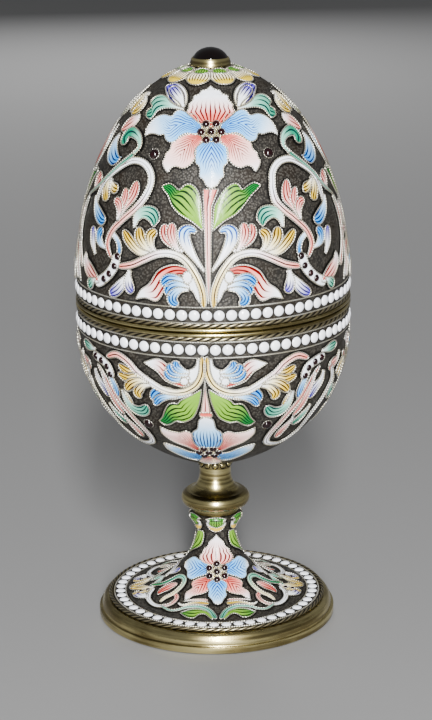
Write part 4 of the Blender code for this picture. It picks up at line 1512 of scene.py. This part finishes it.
def makeFoot():
    under = trumpetLine(stand["sideWall"], stand["plateWall"], 30)[::-1]
    line = [(nearAxis, stand["pedestalTop"])] + footLine
    line += [(stand["fieldRadius"], stand["plateTop"]), (stand["plateRadius"], stand["plateTop"]),
             (stand["plateRadius"], stand["plateBottom"]),
             (stand["fieldRadius"] - stand["sideWall"], stand["plateBottom"])]
    first = len(line) - 1
    line += [point for point in under if point[0] < stand["fieldRadius"] - stand["sideWall"] - 0.01]
    line.append((nearAxis, stand["waistHeight"] - stand["plateWall"]))
    turnedPiece("pedestal", line, groundMetal, ["pedestal"], inner=(first, insideGilt))
    beads, rings, wires, rope = newPile(), newPile(), newPile(), newPile()
    top = stand["plateTop"] + 0.3
    inside, outside = stand["fieldRadius"] + 0.3, stand["plateRadius"]
    strip = [(inside, top + 0.05), (outside - 0.15, top + 0.05), (outside, top - 0.1), (outside, top - 0.29),
             (inside, top - 0.29)]
    turnedPiece("footBeadStrip", strip, groundMetal, ["foot_bead_row"], closed=True)
    stripSkin = makeSkin([(inside - 1, top + 0.05), (outside + 1, top + 0.05)])
    for k in range(stand["footBeads"]):
        centre = outward(stand["footFirstBead"] + 360 * k / stand["footBeads"]) * stand["footBeadCentre"]
        centre[2] = top + 0.1
        addBead(beads, rings, stripSkin, centre, (0, 0, 1), stand["footBeadRadius"], stand["footBeadHeight"])
    pileToPiece("footBeads", beads, whiteEnamel)
    # dark rings at the beads' feet: tarnish and painted shade
    pileToPiece("footBeadOxide", rings, groundMetal)
    for edge in (inside + 0.1, outside - 0.2):
        line = circleOn(edge, top)
        addWire(wires, stripSkin, line, stand["footWireLift"], stand["footWire"], band["edgeStep"])
    pileToPiece("footBeadWires", wires, cellWire)
    addRope(rope, stand["footRopeRadius"], stand["footRopeHeight"], stand["footRopeThickness"],
            stand["footRopeStrands"], stand["footRopePitch"])
    pileToPiece("footRope", rope, bandWire, ["foot_twisted_wire"])


def makeBaseRim():
    low, edge, outer = stand["flangeHeight"], stand["flangeRadius"], stand["ovoloOuter"]
    radii = (outer - stand["ovoloInner"], stand["baseSeatHeight"] - low)
    ovolo = arc((stand["ovoloInner"], low), radii, 90, 4, 18)
    flange = [(outer + 0.05, low + 0.02), (edge - 0.15, low), (edge - 0.04, low - 0.05), (edge, low - 0.18),
              (edge, 0.15), (edge - 0.15, 0.0)]
    line = [(stand["baseSeat"], stand["baseSeatHeight"])] + ovolo + flange
    line += [(stand["baseInner"], 0.0), (stand["baseInner"], stand["ledgeHeight"]),
             (stand["baseSeat"], stand["ledgeHeight"])]
    turnedPiece("baseRim", line, gilt, ["base_rim"], closed=True)


makeFinial()
makeKnop()
makeNeckRing()
makeFoot()
makePanels("foot", footSkin, footLean, footLeaves, footRibbons, footMiddleLeaves, footStones,
           ((217.3, 572.3), 1.8, 0.66, 90))
makeFootScallops()
makeBaseRim()
print("finial, knop and foot made")


# Floor and light

studio = {
    "floorColour": (0.15, 0.15, 0.15),
    "worldColour": (0.50, 0.51, 0.52),
    "worldStrength": 0.40,
    "aim": (0, 0, 0.06),
    "keyPlace": (0.02, -0.70, 0.34),
    "keySize": (0.07, 0.5),
    "keyPower": 26.5,
    "backPlace": (-0.05, 0.80, 0.40),
    "backSize": (0.25, 0.5),
    "backPower": 6.0,
    "floorHalf": 6,
    "floorDrop": 0.0002,
}


def addLight(name, key, mirrored):
    place = Vector(studio[key + "Place"])
    data = bpy.data.lights.new(name, "AREA")
    data.energy = studio[key + "Power"]
    data.shape = "RECTANGLE"
    data.size, data.size_y = studio[key + "Size"]
    light = bpy.data.objects.new(name, data)
    bpy.context.scene.collection.objects.link(light)
    light.location = place
    light.rotation_euler = (Vector(studio["aim"]) - place).to_track_quat("-Z", "Y").to_euler()
    light.visible_glossy = mirrored


def makeStudio():
    world = bpy.data.worlds.new("studio")
    bpy.context.scene.world = world
    world.use_nodes = True
    sky = world.node_tree.nodes["Background"]
    sky.inputs["Color"].default_value = (*studio["worldColour"], 1)
    sky.inputs["Strength"].default_value = studio["worldStrength"]
    mesh = bpy.data.meshes.new("floor")
    half = studio["floorHalf"]
    corners = [(-half, -half, 0), (half, -half, 0), (half, half, 0), (-half, half, 0)]
    mesh.from_pydata(corners, [], [(0, 1, 2, 3)])
    material, _, _, _ = startMaterial("paleFloor", (*studio["floorColour"], 1), 0.8)
    mesh.materials.append(material)
    floor = bpy.data.objects.new("floor", mesh)
    bpy.context.scene.collection.objects.link(floor)
    floor.location.z = -studio["floorDrop"]
    addLight("frontSoft", "key", mirrored=True)
    addLight("backSoft", "back", mirrored=False)


makeStudio()
print("studio lit")
